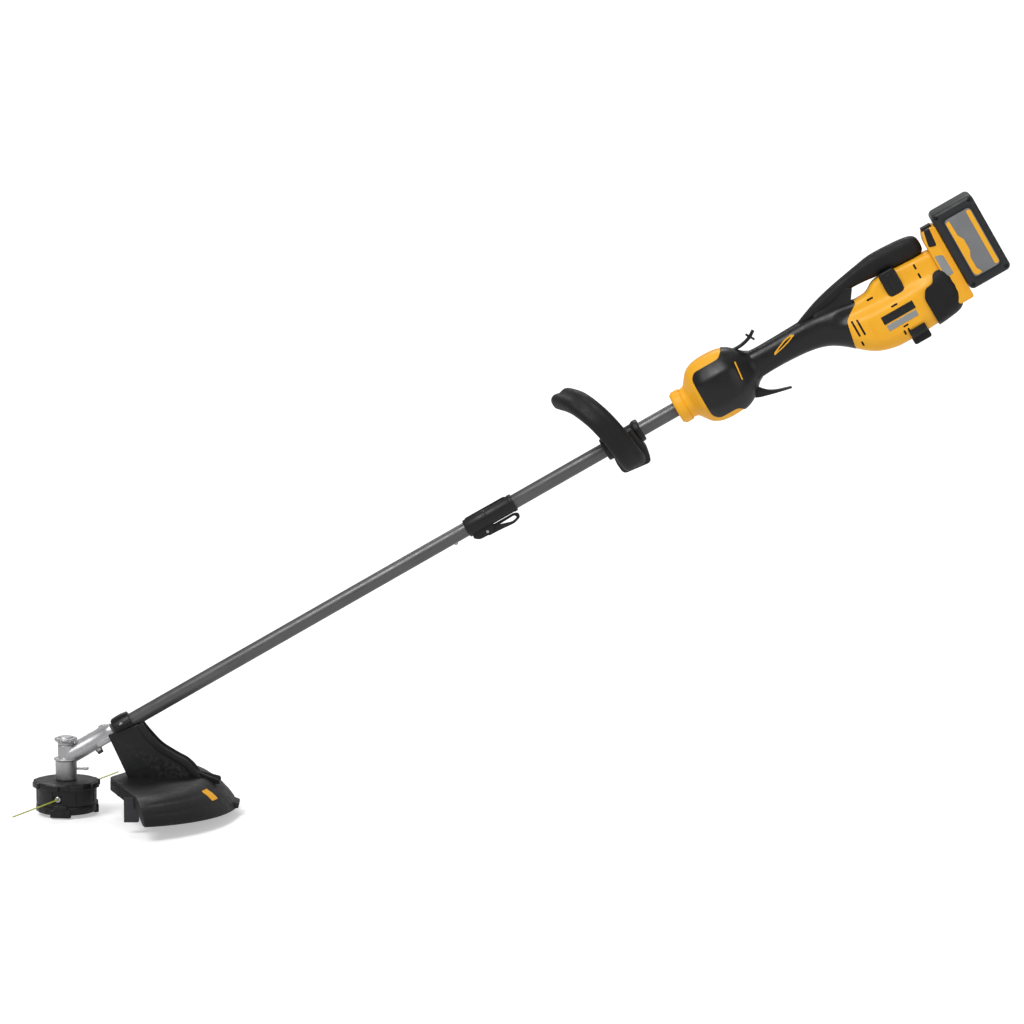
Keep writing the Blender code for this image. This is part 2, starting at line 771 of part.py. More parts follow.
def guard_rings():
    rings = []
    for angle in steps_between(GUARD_NEAR_ANGLE, GUARD_FAR_ANGLE, 22):
        front = guard_front(angle)
        ray = Vector((math.cos(angle), math.sin(angle), 0.0))
        flat_end = max(front + 2.0 * MM, GUARD_RADIUS - GUARD_ROLL)
        radii = [front, (front + flat_end) / 2, *steps_between(flat_end, GUARD_RADIUS, 6)]
        lip_foot = max(GUARD_BOTTOM, guard_height(front) - GUARD_LIP)
        ring = [ray * (front - 1.0 * MM) + Vector((0.0, 0.0, lip_foot))]
        ring += [ray * radius + Vector((0.0, 0.0, guard_height(radius))) for radius in radii]
        rings.append(ring)
    return rings


def add_guard():
    skirt = thickened(loft("guard_skirt", guard_rings(), closed=False), GUARD_WALL)
    foot = GUARD_TOP - 2.0 * MM
    outline = [
        (80.0 * MM, 113.0 * MM),
        (108.0 * MM, foot),
        (214.0 * MM, foot),
        (203.0 * MM, 88.0 * MM),
        (172.0 * MM, 97.0 * MM),
        (133.0 * MM, 152.0 * MM),
        (124.0 * MM, 160.0 * MM),
    ]
    neck = plate("guard_neck", outline, GUARD_NECK_HALF * 2)
    joined(skirt, neck)
    reach = ARM_RADIUS + GAP
    channel = turned(
        "guard_channel",
        [
            (0.0, 300.0 * MM),
            (TUBE_RADIUS + GAP, 300.0 * MM),
            (TUBE_RADIUS + GAP, ARM_END + GAP),
            (reach, ARM_END + GAP),
            (reach, 0.0),
            (0.0, 0.0),
        ],
        SHAFT,
        rotation=ALONG,
    )
    above = box("guard_above", (0.0, -60.0 * MM, 0.0), (300.0 * MM, 60.0 * MM, 200.0 * MM), SHAFT)
    boss_room = rod("boss_room", 7.0 * MM, -30.0 * MM, 0.0, SHAFT, (57.0 * MM, 0.0, 0.0))
    cut(skirt, channel, above, boss_room, line_cutter_plate("cutter_slot", GAP))
    return look(skirt, "guard", "black")


def line_cutter_plate(name, grow):
    """The blade that hangs through a slot in the guard's lip; its slot is the same, grown."""
    angle = math.radians(-54.5)
    half, thin = 13.0 * MM + grow, 1.0 * MM + grow
    top = GUARD_TOP - GUARD_WALL - GAP
    blade = box(name, (-half, -thin, 19.0 * MM - grow), (half, thin, top))
    blade.location = (CUTTER_RADIUS * math.cos(angle), CUTTER_RADIUS * math.sin(angle), 0.0)
    return blade


def add_guard_fittings():
    start, end = GUARD_CLAMP
    clamp = rod("clamp_ring", CLAMP_RING_RADIUS, start, end, SHAFT, rotation=ALONG, sides=24)
    ear_reach = CLAMP_RING_RADIUS + 5.8 * MM
    ears = box("clamp_ears", (start, -ear_reach, GAP), (end, ear_reach, CLAMP_EAR_TOP), SHAFT)
    below_low, below_high = (start - 10.0 * MM, -40.0 * MM, -30.0 * MM), (end + 10.0 * MM, 40.0 * MM, GAP)
    below = box("clamp_below", below_low, below_high, SHAFT)
    before, beyond = start - CUT_PAST, end + CUT_PAST
    tube_room = rod("clamp_room", TUBE_RADIUS + GAP, before, beyond, SHAFT, rotation=ALONG, sides=24)
    cut(joined(clamp, ears), below, tube_room)
    look(clamp, "guard_clamp", "black")
    middle, low = (start + end) / 2, CLAMP_EAR_TOP + GAP
    aside = CLAMP_RING_RADIUS - 0.9 * MM + CLAMP_SCREW_RADIUS
    for side, y in (("near", -aside), ("far", aside)):
        name = f"guard_screw_{side}"
        screw = rod(name, CLAMP_SCREW_RADIUS, low, low + 2.7 * MM, SHAFT, (middle, y, 0.0), sides=12)
        look(screw, name, "steel")
    look(line_cutter_plate("line_cutter", 0.0), "line_cutter", "steel")


# Shaft, coupler and drive


def add_tubes():
    inner = tube_inner()
    lower = pipe("lower_tube", TUBE_RADIUS, inner, LOWER_TUBE_START, LOWER_TUBE_END, SHAFT, rotation=ALONG)
    pocket = rod(
        "button_hole", BUTTON_RADIUS + RUNNING_GAP, -TUBE_RADIUS - CUT_PAST, 0.0, SHAFT, (BUTTON_PLACE, 0.0, 0.0), sides=16
    )
    look(cut(lower, pocket), "lower_tube", "tube")
    upper_start = LOWER_TUBE_END + 2.0 * MM
    upper = pipe("upper_tube", TUBE_RADIUS, inner, upper_start, UPPER_TUBE_END, SHAFT, rotation=ALONG)
    look(upper, "upper_tube", "tube")
    button = rod(
        "locating_button", BUTTON_RADIUS, -TUBE_RADIUS - 3.0 * MM, -inner + 2.0 * MM, SHAFT, (BUTTON_PLACE, 0.0, 0.0), sides=16
    )
    look(button, "locating_button", "steel")
    bush = pipe("shaft_bush", inner - GAP, DRIVE_RADIUS + GAP, 440.0 * MM, 470.0 * MM, SHAFT, rotation=ALONG)
    look(bush, "shaft_bush", "black")


def add_drive_shafts():
    pinion_angle, gear_angle = bevel_angles()
    cone_length = GEAR_PITCH_RADIUS / math.sin(gear_angle)
    start = (cone_length - TOOTH_FACE) * math.cos(pinion_angle) + GAP
    socket_start = LOWER_TUBE_END + 4.0 * MM
    lower = rod("lower_shaft", DRIVE_RADIUS, start, socket_start - 1.0 * MM, SHAFT, rotation=ALONG, sides=16)
    half = SQUARE_SIDE / 2
    square_end = socket_start + SOCKET_LENGTH - 4.0 * MM
    square = box("square_end", (socket_start - 2.0 * MM, -half, -half), (square_end, half, half), SHAFT)
    look(joined(lower, square), "lower_drive_shaft", "steel")
    upper = turned(
        "upper_shaft",
        [
            (0.0, STATOR[1] + 14.0 * MM),
            (DRIVE_RADIUS, STATOR[1] + 14.0 * MM),
            (DRIVE_RADIUS, socket_start + SOCKET_LENGTH),
            (SOCKET_RADIUS, socket_start + SOCKET_LENGTH),
            (SOCKET_RADIUS, socket_start),
            (0.0, socket_start),
        ],
        SHAFT,
        rotation=ALONG,
        steps=16,
    )
    room = half + RUNNING_GAP
    socket = box("socket", (socket_start - CUT_PAST, -room, -room), (square_end + 1.0 * MM, room, room), SHAFT)
    look(cut(upper, socket), "upper_drive_shaft", "steel")


def add_coupler():
    start, end = SLEEVE
    sleeve = rod("sleeve", SLEEVE_RADIUS, start, end, SHAFT, rotation=ALONG, sides=24)
    ears = box("sleeve_ears", (start + 6.0 * MM, -9.0 * MM, -26.0 * MM), (842.0 * MM, 9.0 * MM, -TUBE_RADIUS), SHAFT)
    joined(sleeve, ears)
    room = rod("sleeve_room", TUBE_RADIUS + GAP, start - CUT_PAST, end + CUT_PAST, SHAFT, rotation=ALONG, sides=24)
    lever_room = box(
        "lever_room", (start, -4.0 * MM - RUNNING_GAP, -40.0 * MM), (860.0 * MM, 4.0 * MM + RUNNING_GAP, -SLEEVE_RADIUS - GAP), SHAFT
    )
    pivot_hole = rod("pivot_hole", 2.5 * MM + GAP, -20.0 * MM, 20.0 * MM, SHAFT, (LEVER_PIVOT[0], 0.0, LEVER_PIVOT[1]), ACROSS)
    cut(sleeve, room, lever_room, pivot_hole)
    look(sleeve, "coupler_sleeve", "black")
    pin = rod("coupler_pin", 2.5 * MM, -10.0 * MM, 10.0 * MM, SHAFT, (LEVER_PIVOT[0], 0.0, LEVER_PIVOT[1]), ACROSS, sides=16)
    look(pin, "coupler_pin", "steel")
    x, z = LEVER_PIVOT
    outline = [
        (-4.0 * MM, 2.0 * MM),
        (-5.0 * MM, -3.0 * MM),
        (-4.0 * MM, -7.0 * MM),
        (16.0 * MM, -9.0 * MM),
        (50.0 * MM, -11.0 * MM),
        (60.0 * MM, -7.0 * MM),
        (62.0 * MM, 0.0),
        (56.0 * MM, 4.5 * MM),
        (0.0, 4.5 * MM),
    ]
    lever = plate("lever", outline, 8.0 * MM, SHAFT, (x, 0.0, z))
    hole = plate(
        "lever_hole", [(22.0 * MM, 0.5 * MM), (46.0 * MM, -7.5 * MM), (56.0 * MM, -5.0 * MM), (55.0 * MM, 1.2 * MM)], 20.0 * MM, SHAFT, (x, 0.0, z)
    )
    pin_room = rod("lever_pin_room", 2.5 * MM + GAP, -20.0 * MM, 20.0 * MM, SHAFT, (x, 0.0, z), ACROSS)
    cut(lever, hole, pin_room)
    look(lever, "coupler_lever", "black")


# Front handle


def tube_sections(path, sizes, power, sides=16):
    """Rings along a path, each square to it and lying across y; sizes are half (width, height)."""
    rings = []
    count = len(path)
    for i, place in enumerate(path):
        ahead = (path[min(i + 1, count - 1)] - path[max(i - 1, 0)]).normalized()
        side = ahead.cross(Vector((1.0, 0.0, 0.0))).normalized()
        broad = side.cross(ahead).normalized()
        half_broad, half_side = sizes[i]
        angles = [math.tau * k / sides for k in range(sides)]
        ring = [place + broad * y + side * z for y, z in superellipse(half_broad, half_side, power, angles)]
        rings.append(ring)
    return rings


def smooth_path(points, count):
    """A smooth curve through the points, sampled evenly in parameter."""
    points = [Vector(point) for point in points]
    ends = [points[0] * 2 - points[1], *points, points[-1] * 2 - points[-2]]
    path = []
    for i in range(len(points) - 1):
        before, start, end, after = ends[i : i + 4]
        for k in range(count):
            u = k / count
            path.append(
                0.5
                * (
                    2 * start
                    + (end - before) * u
                    + (2 * before - 5 * start + 4 * end - after) * u**2
                    + (3 * start - before - 3 * end + after) * u**3
                )
            )
    path.append(points[-1])
    return path


def add_front_handle():
    start, end = HANDLE_CLAMP
    middle = (start + end) / 2
    block = box(
        "handle_clamp", (middle - 28.0 * MM, -24.0 * MM, -52.0 * MM), (middle + 28.0 * MM, 24.0 * MM, 16.0 * MM), SHAFT, 5.0 * MM
    )
    collar = rod("clamp_collar", CLAMP_RADIUS, start, end, SHAFT, rotation=ALONG, sides=24)
    room = rod("clamp_tube_room", TUBE_RADIUS + GAP, start - CUT_PAST, end + CUT_PAST, SHAFT, rotation=ALONG, sides=24)
    joined(block, collar)
    cut(block, room)
    look(block, "handle_clamp", "black")
    points = [
        (1111.0 * MM, -24.0 * MM - GAP, -34.0 * MM),
        (1111.0 * MM, -48.0 * MM, -30.0 * MM),
        (1109.0 * MM, -72.0 * MM, -6.0 * MM),
        (1105.0 * MM, -82.0 * MM, 30.0 * MM),
        (1096.0 * MM, -76.0 * MM, 66.0 * MM),
        (1080.0 * MM, -50.0 * MM, 98.0 * MM),
        (1062.0 * MM, -8.0 * MM, 112.0 * MM),
        (1056.0 * MM, 14.0 * MM, 112.0 * MM),
    ]
    root = Vector(points[0])
    path = [root, *smooth_path([root - Vector((0.0, BITE, 0.0)), *points[1:]], 2)]
    sizes = [(22.0 * MM, 14.0 * MM)] * len(path)
    sizes[-1] = (13.0 * MM, 8.0 * MM)
    bar = loft("front_handle", tube_sections(path, sizes, 2.6), SHAFT)
    look(bar, "front_handle", "rubber")


# Motor housing, neck and rear housing

MOTOR_RADII = [
    (COLLAR_START, TUBE_RADIUS + 1.2 * MM),
    (COLLAR_START + 0.1 * MM, 27.0 * MM),
    (1244.0 * MM, 29.0 * MM),
    (1252.0 * MM, 36.0 * MM),
    (1266.0 * MM, 52.0 * MM),
    (1284.0 * MM, 59.0 * MM),
    (1310.0 * MM, 60.0 * MM),
    (1334.0 * MM, 56.0 * MM),
    (1352.0 * MM, 43.0 * MM),
    (MOTOR_END, 27.0 * MM),
]


def half_angles(side, first=0.0, last=math.pi, count=12):
    """Angles from the top, down one side."""
    return [side * angle for angle in steps_between(first, last, count)]


def half_shell(name, rings, side, finish, *rooms):
    """A shell over half sections, cut flat half a gap off the middle plane, and where rooms are."""
    shell = thickened(loft(name, rings, SHAFT, closed=False, flip=side > 0), SHELL_WALL)
    near, far = side * GAP / 2, -side * 10.0 * MM
    seam = box(
        f"{name}_seam", (COLLAR_START - BITE, min(near, far), -120.0 * MM), (HOUSING_END + BITE, max(near, far), 120.0 * MM), SHAFT
    )
    return look(cut(shell, seam, *rooms), name, finish)


def motor_ring(place, side, proud=0.0, first=0.0, last=math.pi):
    radius = between(place, MOTOR_RADII) + proud
    section = superellipse(radius * 0.95, radius, 2.3, half_angles(side, first, last))
    return [Vector((place, y, z)) for y, z in section]


def lever_slots():
    """Where the trigger and the lock-off lever come out of the motor housing's rear shoulder."""
    trigger = box("trigger_slot", (1338.0 * MM, -7.5 * MM, -70.0 * MM), (1362.0 * MM, 7.5 * MM, -28.0 * MM), SHAFT)
    lock_off = box("lock_off_slot", (1336.0 * MM, -6.5 * MM, 30.0 * MM), (1362.0 * MM, 6.5 * MM, 70.0 * MM), SHAFT)
    return trigger, lock_off


def add_motor_housing():
    places = [place for place, _ in MOTOR_RADII]
    slots = lever_slots()
    for name, side in (("left", -1.0), ("right", 1.0)):
        rings = [motor_ring(place, side) for place in places]
        half_shell(f"motor_shell_{name}", rings, side, "yellow", *slots)
        panel_places = [1271.0 * MM, 1284.0 * MM, 1310.0 * MM, 1334.0 * MM, 1350.0 * MM]
        first, last = math.radians(44.0), math.radians(138.0)
        rings = [motor_ring(place, side, GAP * 2, first, last) for place in panel_places]
        skin = loft("side_panel", rings, SHAFT, closed=False, flip=side > 0)
        panel = thickened(skin, PANEL_THICK, outwards=True)
        look(panel, f"side_panel_{name}", "black")


def add_motor():
    start, end = STATOR
    stator = pipe("stator", STATOR_RADIUS, ROTOR_RADIUS + RUNNING_GAP, start, end, SHAFT, rotation=ALONG)
    look(stator, "stator", "copper")
    bore = DRIVE_RADIUS + GAP
    rotor = turned(
        "rotor",
        [
            (bore, end + 10.0 * MM),
            (38.0 * MM, end + 10.0 * MM),
            (38.0 * MM, end + 7.0 * MM),
            (12.0 * MM, end + 5.0 * MM),
            (12.0 * MM, end),
            (ROTOR_RADIUS, end),
            (ROTOR_RADIUS, start),
            (bore, start),
        ],
        SHAFT,
        rotation=ALONG,
        ring=True,
    )
    look(rotor, "rotor", "steel")
    mount = turned(
        "motor_mount",
        [
            (bore, start - GAP),
            (STATOR_RADIUS, start - GAP),
            (STATOR_RADIUS, start - 6.0 * MM),
            (TUBE_RADIUS + 4.0 * MM, start - 6.0 * MM),
            (TUBE_RADIUS + 4.0 * MM, UPPER_TUBE_END - 20.0 * MM),
            (TUBE_RADIUS + GAP, UPPER_TUBE_END - 20.0 * MM),
            (TUBE_RADIUS + GAP, UPPER_TUBE_END + GAP),
            (bore, UPPER_TUBE_END + GAP),
        ],
        SHAFT,
        rotation=ALONG,
        ring=True,
    )
    look(mount, "motor_mount", "cast")


# place, half width, top, bottom
NECK_SECTIONS = [
    (MOTOR_END + GAP, 24.5 * MM, 26.0 * MM, -26.0 * MM),
    (1385.0 * MM, 22.0 * MM, 24.0 * MM, -23.0 * MM),
    (1440.0 * MM, 22.0 * MM, 23.0 * MM, -24.0 * MM),
    (1490.0 * MM, 24.0 * MM, 25.0 * MM, -28.0 * MM),
    (1520.0 * MM, 31.0 * MM, 24.0 * MM, -46.0 * MM),
    (NECK_END + BITE, 37.0 * MM, 18.0 * MM, -64.0 * MM),
]


def add_neck():
    for name, side in (("left", -1.0), ("right", 1.0)):
        rings = []
        for place, half, top, bottom in NECK_SECTIONS:
            section = superellipse(half, (top - bottom) / 2, 2.4, half_angles(side))
            middle = (top + bottom) / 2
            rings.append([Vector((place, y, z + middle)) for y, z in section])
        beyond = box("neck_trim", (NECK_END - GAP, -60.0 * MM, -90.0 * MM), (NECK_END + 20.0 * MM, 60.0 * MM, 60.0 * MM), SHAFT)
        half_shell(f"neck_shell_{name}", rings, side, "black", beyond)


# place, bottom, shoulder, top, half width below the shoulder, half width above it
HOUSING_SECTIONS = [
    (NECK_END - BITE, -66.0 * MM, -14.0 * MM, 14.0 * MM, 37.0 * MM, 22.0 * MM),
    (1566.0 * MM, -82.0 * MM, -15.0 * MM, 10.0 * MM, 41.0 * MM, 22.0 * MM),
    (1606.0 * MM, -93.0 * MM, -17.0 * MM, 11.0 * MM, 42.0 * MM, 22.0 * MM),
    (1614.0 * MM, -94.0 * MM, -17.0 * MM, 24.0 * MM, 42.0 * MM, 22.0 * MM),
    (1660.0 * MM, -95.0 * MM, -18.0 * MM, 24.0 * MM, 42.0 * MM, 23.0 * MM),
    (1700.0 * MM, -92.0 * MM, -18.0 * MM, 21.0 * MM, 40.0 * MM, 25.0 * MM),
    (HOUSING_END, -86.0 * MM, -16.0 * MM, 20.0 * MM, 37.0 * MM, 28.0 * MM),
]


def housing_ring(section, side):
    place, bottom, shoulder, top, wide, narrow = section
    outline = [
        (0.0, top),
        (narrow * 0.6, top - 0.5 * MM),
        (narrow, top - 7.0 * MM),
        (narrow + 1.0 * MM, shoulder + 9.0 * MM),
        (wide - 2.0 * MM, shoulder - 2.0 * MM),
        (wide, shoulder - 12.0 * MM),
        (wide, bottom + 24.0 * MM),
        (wide - 4.0 * MM, bottom + 10.0 * MM),
        (wide - 16.0 * MM, bottom + 2.0 * MM),
        (0.0, bottom),
    ]
    return [Vector((place, side * y, z)) for y, z in outline]


def add_rear_housing():
    for name, side in (("left", -1.0), ("right", 1.0)):
        rings = [housing_ring(section, side) for section in HOUSING_SECTIONS]
        inner, outer = sorted((side * PADDLE_INNER, side * 60.0 * MM))
        room = box("paddle_room", (1624.0 * MM, inner, -23.0 * MM), (1668.0 * MM, outer, 0.0), SHAFT)
        before = box("housing_trim", (NECK_END - 20.0 * MM, -60.0 * MM, -90.0 * MM), (NECK_END, 60.0 * MM, 60.0 * MM), SHAFT)
        half_shell(f"housing_{name}", rings, side, "yellow", room, before)


def add_loop_grip():
    # place, middle height, half height, half width
    sections = [
        (1496.0 * MM, 32.1 * MM, 7.0 * MM, 9.0 * MM),
        (1520.0 * MM, 34.0 * MM, 9.0 * MM, 13.0 * MM),
        (1548.0 * MM, 37.0 * MM, 12.0 * MM, 15.0 * MM),
        (1580.0 * MM, 43.0 * MM, 13.0 * MM, 16.0 * MM),
        (1612.0 * MM, 45.0 * MM, 17.0 * MM, 17.0 * MM),
        (1660.0 * MM, 44.0 * MM, 19.0 * MM, 17.0 * MM),
        (1704.0 * MM, 41.0 * MM, 19.0 * MM, 16.0 * MM),
        (1722.0 * MM, 40.0 * MM, 15.0 * MM, 12.0 * MM),
    ]
    rings = []
    angles = [math.tau * k / 20 for k in range(20)]
    for place, middle, half_height, half_width in sections:
        section = superellipse(half_width, half_height, 2.5, angles)
        rings.append([Vector((place, y, z + middle)) for y, z in section])
    grip = loft("loop_grip", rings, SHAFT)
    notch = box("grip_notch", (1627.0 * MM, -40.0 * MM, 0.0), (1665.0 * MM, 40.0 * MM, 33.0 * MM), SHAFT)
    look(cut(grip, notch), "loop_grip", "rubber")


def add_rear_trim():
    x, z = PADDLE_PIVOT
    outer = PADDLE_INNER + 6.0 * MM
    paddle = box("paddle", (-15.0 * MM, -outer, -43.0 * MM), (15.0 * MM, outer, 4.0 * MM), SHAFT, 2.0 * MM)
    paddle.location = (x, 0.0, z)
    inner = PADDLE_INNER
    web_room = box("paddle_gap", (1600.0 * MM, -inner, -70.0 * MM), (1700.0 * MM, inner, -1.0 * MM), SHAFT)
    web_room.location = (0.0, 0.0, z)
    look(cut(paddle, web_room), "speed_paddle", "black")
    bumper = box("rear_bumper", (1680.0 * MM, -46.0 * MM, -100.0 * MM), (1726.0 * MM, 46.0 * MM, -22.0 * MM), SHAFT, 6.0 * MM)
    sections = [housing_ring(section, 1.0) for section in HOUSING_SECTIONS]
    outer = [ring + [Vector((p.x, -p.y, p.z)) for p in reversed(ring[1:-1])] for ring in sections]
    grown = [[Vector((p.x, p.y * 1.012 + math.copysign(GAP, p.y), p.z - GAP * 2)) for p in ring] for ring in outer]
    room = loft("bumper_room", [[p + Vector((x_shift, 0.0, 0.0)) for p in ring] for ring, x_shift in zip(grown, [0.0] * 6 + [CUT_PAST])], SHAFT)
    look(cut(bumper, room), "rear_bumper", "rubber")
    foot = box("foot_bumper", (1630.0 * MM, -14.0 * MM, -107.0 * MM), (1662.0 * MM, 14.0 * MM, -95.0 * MM - GAP * 2), SHAFT, 3.0 * MM)
    look(foot, "foot_bumper", "rubber")


def add_levers():
    x, z = TRIGGER_PIVOT
    outline = [
        (-7.0 * MM, 5.0 * MM),
        (-6.0 * MM, -9.0 * MM),
        (4.0 * MM, -13.0 * MM),
        (56.0 * MM, -27.0 * MM),
        (58.0 * MM, -23.0 * MM),
        (20.0 * MM, -6.0 * MM),
        (6.0 * MM, 5.0 * MM),
    ]
    stub = rod("trigger_stub", 2.5 * MM, -7.5 * MM + GAP, 7.5 * MM - GAP, SHAFT, (x, 0.0, z), ACROSS, sides=12)
    look(joined(plate("trigger", outline, 12.0 * MM, SHAFT, (x, 0.0, z)), stub), "trigger", "black")
    x, z = LOCK_OFF_PIVOT
    outline = [
        (-6.0 * MM, -3.0 * MM),
        (10.0 * MM, -4.0 * MM),
        (30.0 * MM, -1.0 * MM),
        (52.0 * MM, 9.0 * MM),
        (50.0 * MM, 12.0 * MM),
        (28.0 * MM, 4.0 * MM),
        (8.0 * MM, 2.0 * MM),
        (-6.0 * MM, 3.0 * MM),
    ]
    stub = rod("lock_off_stub", 2.0 * MM, -6.5 * MM + GAP, 6.5 * MM - GAP, SHAFT, (x, 0.0, z), ACROSS, sides=12)
    look(joined(plate("lock_off", outline, 10.0 * MM, SHAFT, (x, 0.0, z)), stub), "lock_off_lever", "black")


def add_receiver():
    body = box(
        "receiver", (HOUSING_END + GAP, -RECEIVER_HALF, -82.0 * MM), (RECEIVER_END, RECEIVER_HALF, 57.0 * MM), SHAFT, 4.0 * MM
    )
    low, high = RAIL
    rail = box("rail", (RECEIVER_END - 6.0 * MM, -RAIL_HALF, low), (RECEIVER_END + RAIL_DEPTH, RAIL_HALF, high), SHAFT)
    joined(body, rail)
    pocket = box("latch_pocket", (1733.0 * MM - RUNNING_GAP, -13.0 * MM - RUNNING_GAP, 46.0 * MM), (1753.0 * MM + RUNNING_GAP, 13.0 * MM + RUNNING_GAP, 70.0 * MM), SHAFT)
    look(cut(body, pocket), "battery_receiver", "yellow")


def add_battery():
    bottom, top = BATTERY
    start = RECEIVER_END + GAP
    case = box("battery_case", (start, -BATTERY_HALF, bottom), (BATTERY_END - 8.0 * MM, BATTERY_HALF, top), SHAFT, 6.0 * MM)
    channel = box(
        "channel",
        (start - CUT_PAST, -RAIL_HALF - RUNNING_GAP, bottom - CUT_PAST),
        (start + RAIL_DEPTH + RUNNING_GAP, RAIL_HALF + RUNNING_GAP, RAIL[1] + RUNNING_GAP),
        SHAFT,
    )
    cell_start = start + RAIL_DEPTH + BATTERY_WALL
    inner = BATTERY_HALF - BATTERY_WALL
    bay_low, bay_high = bottom + BATTERY_WALL, top - BATTERY_WALL
    bay = box("bay", (cell_start, -inner, bay_low), (BATTERY_END, inner, bay_high), SHAFT)
    look(cut(case, channel, bay), "battery_case", "dark_grey")
    cover = box(
        "battery_cover", (BATTERY_END - 8.0 * MM + GAP, -BATTERY_HALF, bottom), (BATTERY_END, BATTERY_HALF, top), SHAFT, 3.0 * MM
    )
    look(cover, "battery_cover", "dark_grey")
    cells = box(
        "battery_cells",
        (cell_start + GAP, -inner + GAP, bay_low + GAP),
        (BATTERY_END - 8.0 * MM, inner - GAP, bay_high - GAP),
        SHAFT,
    )
    look(cells, "battery_cells", "steel")
    latch = box("battery_latch", (1733.0 * MM, -13.0 * MM, 50.0 * MM), (1753.0 * MM, 13.0 * MM, 62.0 * MM), SHAFT, 1.5 * MM)
    look(latch, "battery_latch", "black")
    board = box("control_board", (HOUSING_END - 2.0 * MM, -25.0 * MM, -70.0 * MM), (HOUSING_END, 25.0 * MM, 8.0 * MM), SHAFT)
    look(board, "control_board", "board")


clear_scene()
PARTS = add_collection("string_trimmer")
CUTTERS = add_collection("string_trimmer_cutters")
SHAFT = add_frame("shaft_frame", (0.0, 0.0, SHAFT_HEIGHT), (0.0, -SHAFT_TILT, 0.0))

add_head_housing()
add_head_cover()
add_spool()
add_bump_spring()
add_lines_and_eyelets()
add_gears()
add_output_shaft()
add_gear_case()
add_gear_case_trim()
add_guard()
add_guard_fittings()
add_tubes()
add_drive_shafts()
add_coupler()
add_front_handle()
add_motor_housing()
add_motor()
add_neck()
add_rear_housing()
add_loop_grip()
add_rear_trim()
add_levers()
add_receiver()
add_battery()
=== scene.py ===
"""Looks of the string trimmer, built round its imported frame.

Pieces along the shaft are modelled in the shaft's frame, in millimetres: (s, y, t) with s up the
shaft, t square to it and up, and y the world's y. Pieces of the head use the world's x, y, z in
millimetres. Both end up in metres, in the frame's own coordinates.
"""

import json
import math

import bmesh
import bpy
from mathutils import Matrix, Vector


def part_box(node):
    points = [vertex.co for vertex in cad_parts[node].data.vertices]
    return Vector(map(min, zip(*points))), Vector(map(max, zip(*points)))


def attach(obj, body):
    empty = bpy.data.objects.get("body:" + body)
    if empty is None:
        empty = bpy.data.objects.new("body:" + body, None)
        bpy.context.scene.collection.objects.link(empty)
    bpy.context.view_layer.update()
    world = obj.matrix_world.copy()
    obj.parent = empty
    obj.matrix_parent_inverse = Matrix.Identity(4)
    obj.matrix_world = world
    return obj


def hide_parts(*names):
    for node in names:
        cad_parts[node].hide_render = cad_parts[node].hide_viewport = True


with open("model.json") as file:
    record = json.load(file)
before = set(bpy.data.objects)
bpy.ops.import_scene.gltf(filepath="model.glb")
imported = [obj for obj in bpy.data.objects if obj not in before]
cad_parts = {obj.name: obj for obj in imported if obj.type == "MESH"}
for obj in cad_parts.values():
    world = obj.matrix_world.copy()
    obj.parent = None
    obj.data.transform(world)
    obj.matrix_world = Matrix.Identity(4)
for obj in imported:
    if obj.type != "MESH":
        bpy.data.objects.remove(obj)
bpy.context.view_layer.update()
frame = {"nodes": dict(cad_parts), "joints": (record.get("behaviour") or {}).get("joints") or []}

MM = Matrix.Scale(0.001, 4)
SPIN = next(joint for joint in frame["joints"] if joint["name"] == "drive_spin")
AXIS = Vector(SPIN["axis"]).normalized()
APEX = Vector(SPIN["pos_m"])
UP = Vector((-AXIS.z, 0.0, AXIS.x))
TURN = Matrix((AXIS, Vector((0.0, 1.0, 0.0)), UP)).transposed().to_4x4()
SHAFT = Matrix.Translation(APEX) @ TURN @ MM
WORLD = MM
TUBE = 12.7
TUBE_WALL = 1.5
CORNER_STEPS = 4
SIDES = ((-1, "left"), (1, "right"))
BUTTON_PLACE = 774.0
LEVER_PIN = (832.0, -21.0)
HANDLE_CLAMP = (1076.0, 1149.0)
COLLAR_START = 1218.5
HOUSING_END = 1727.0
RECEIVER_START, RECEIVER_END = 1727.3, 1757.0
BATTERY_START, BATTERY_END = 1757.3, 1837.0
BATTERY_LOW, BATTERY_HIGH = -70.0, 76.0
BATTERY_HALF = 43.0
SKY_LEVEL = 0.32
FLOOR_GLOW = 0.42
CAMERA_TARGET = Vector((0.773, 0.0, 0.5285))
CAMERA_CLIMB, CAMERA_DISTANCE = math.radians(8.3), 9.8
LINE_HEIGHT = 34.0
TAB_ANGLE = 262.0


# Shape tools


def in_scene(obj):
    bpy.context.scene.collection.objects.link(obj)
    return obj


def duplicate(obj, name):
    copy = obj.copy()
    copy.data = obj.data.copy()
    copy.name = name
    return in_scene(copy)


def shaded(mesh, smooth):
    """The mesh, shaded smooth where its faces meet below this angle."""
    mesh.shade_smooth()
    mesh.set_sharp_from_angle(angle=math.radians(smooth))
    return mesh


def object_of(name, bm, smooth):
    """A new object that holds the bmesh, which is used up."""
    mesh = bpy.data.meshes.new(name)
    bm.to_mesh(mesh)
    bm.free()
    return in_scene(bpy.data.objects.new(name, shaded(mesh, smooth)))


def made(name, bm, space, smooth=35.0):
    """An object from a bmesh that is drawn in the given space."""
    bmesh.ops.transform(bm, matrix=space, verts=bm.verts)
    bmesh.ops.recalc_face_normals(bm, faces=bm.faces)
    return object_of(name, bm, smooth)


def baked(obj, smooth):
    """The object with its modifiers applied."""
    bpy.context.view_layer.update()
    graph = bpy.context.evaluated_depsgraph_get()
    mesh = bpy.data.meshes.new_from_object(obj.evaluated_get(graph))
    obj.modifiers.clear()
    obj.data = shaded(mesh, smooth)
    return obj


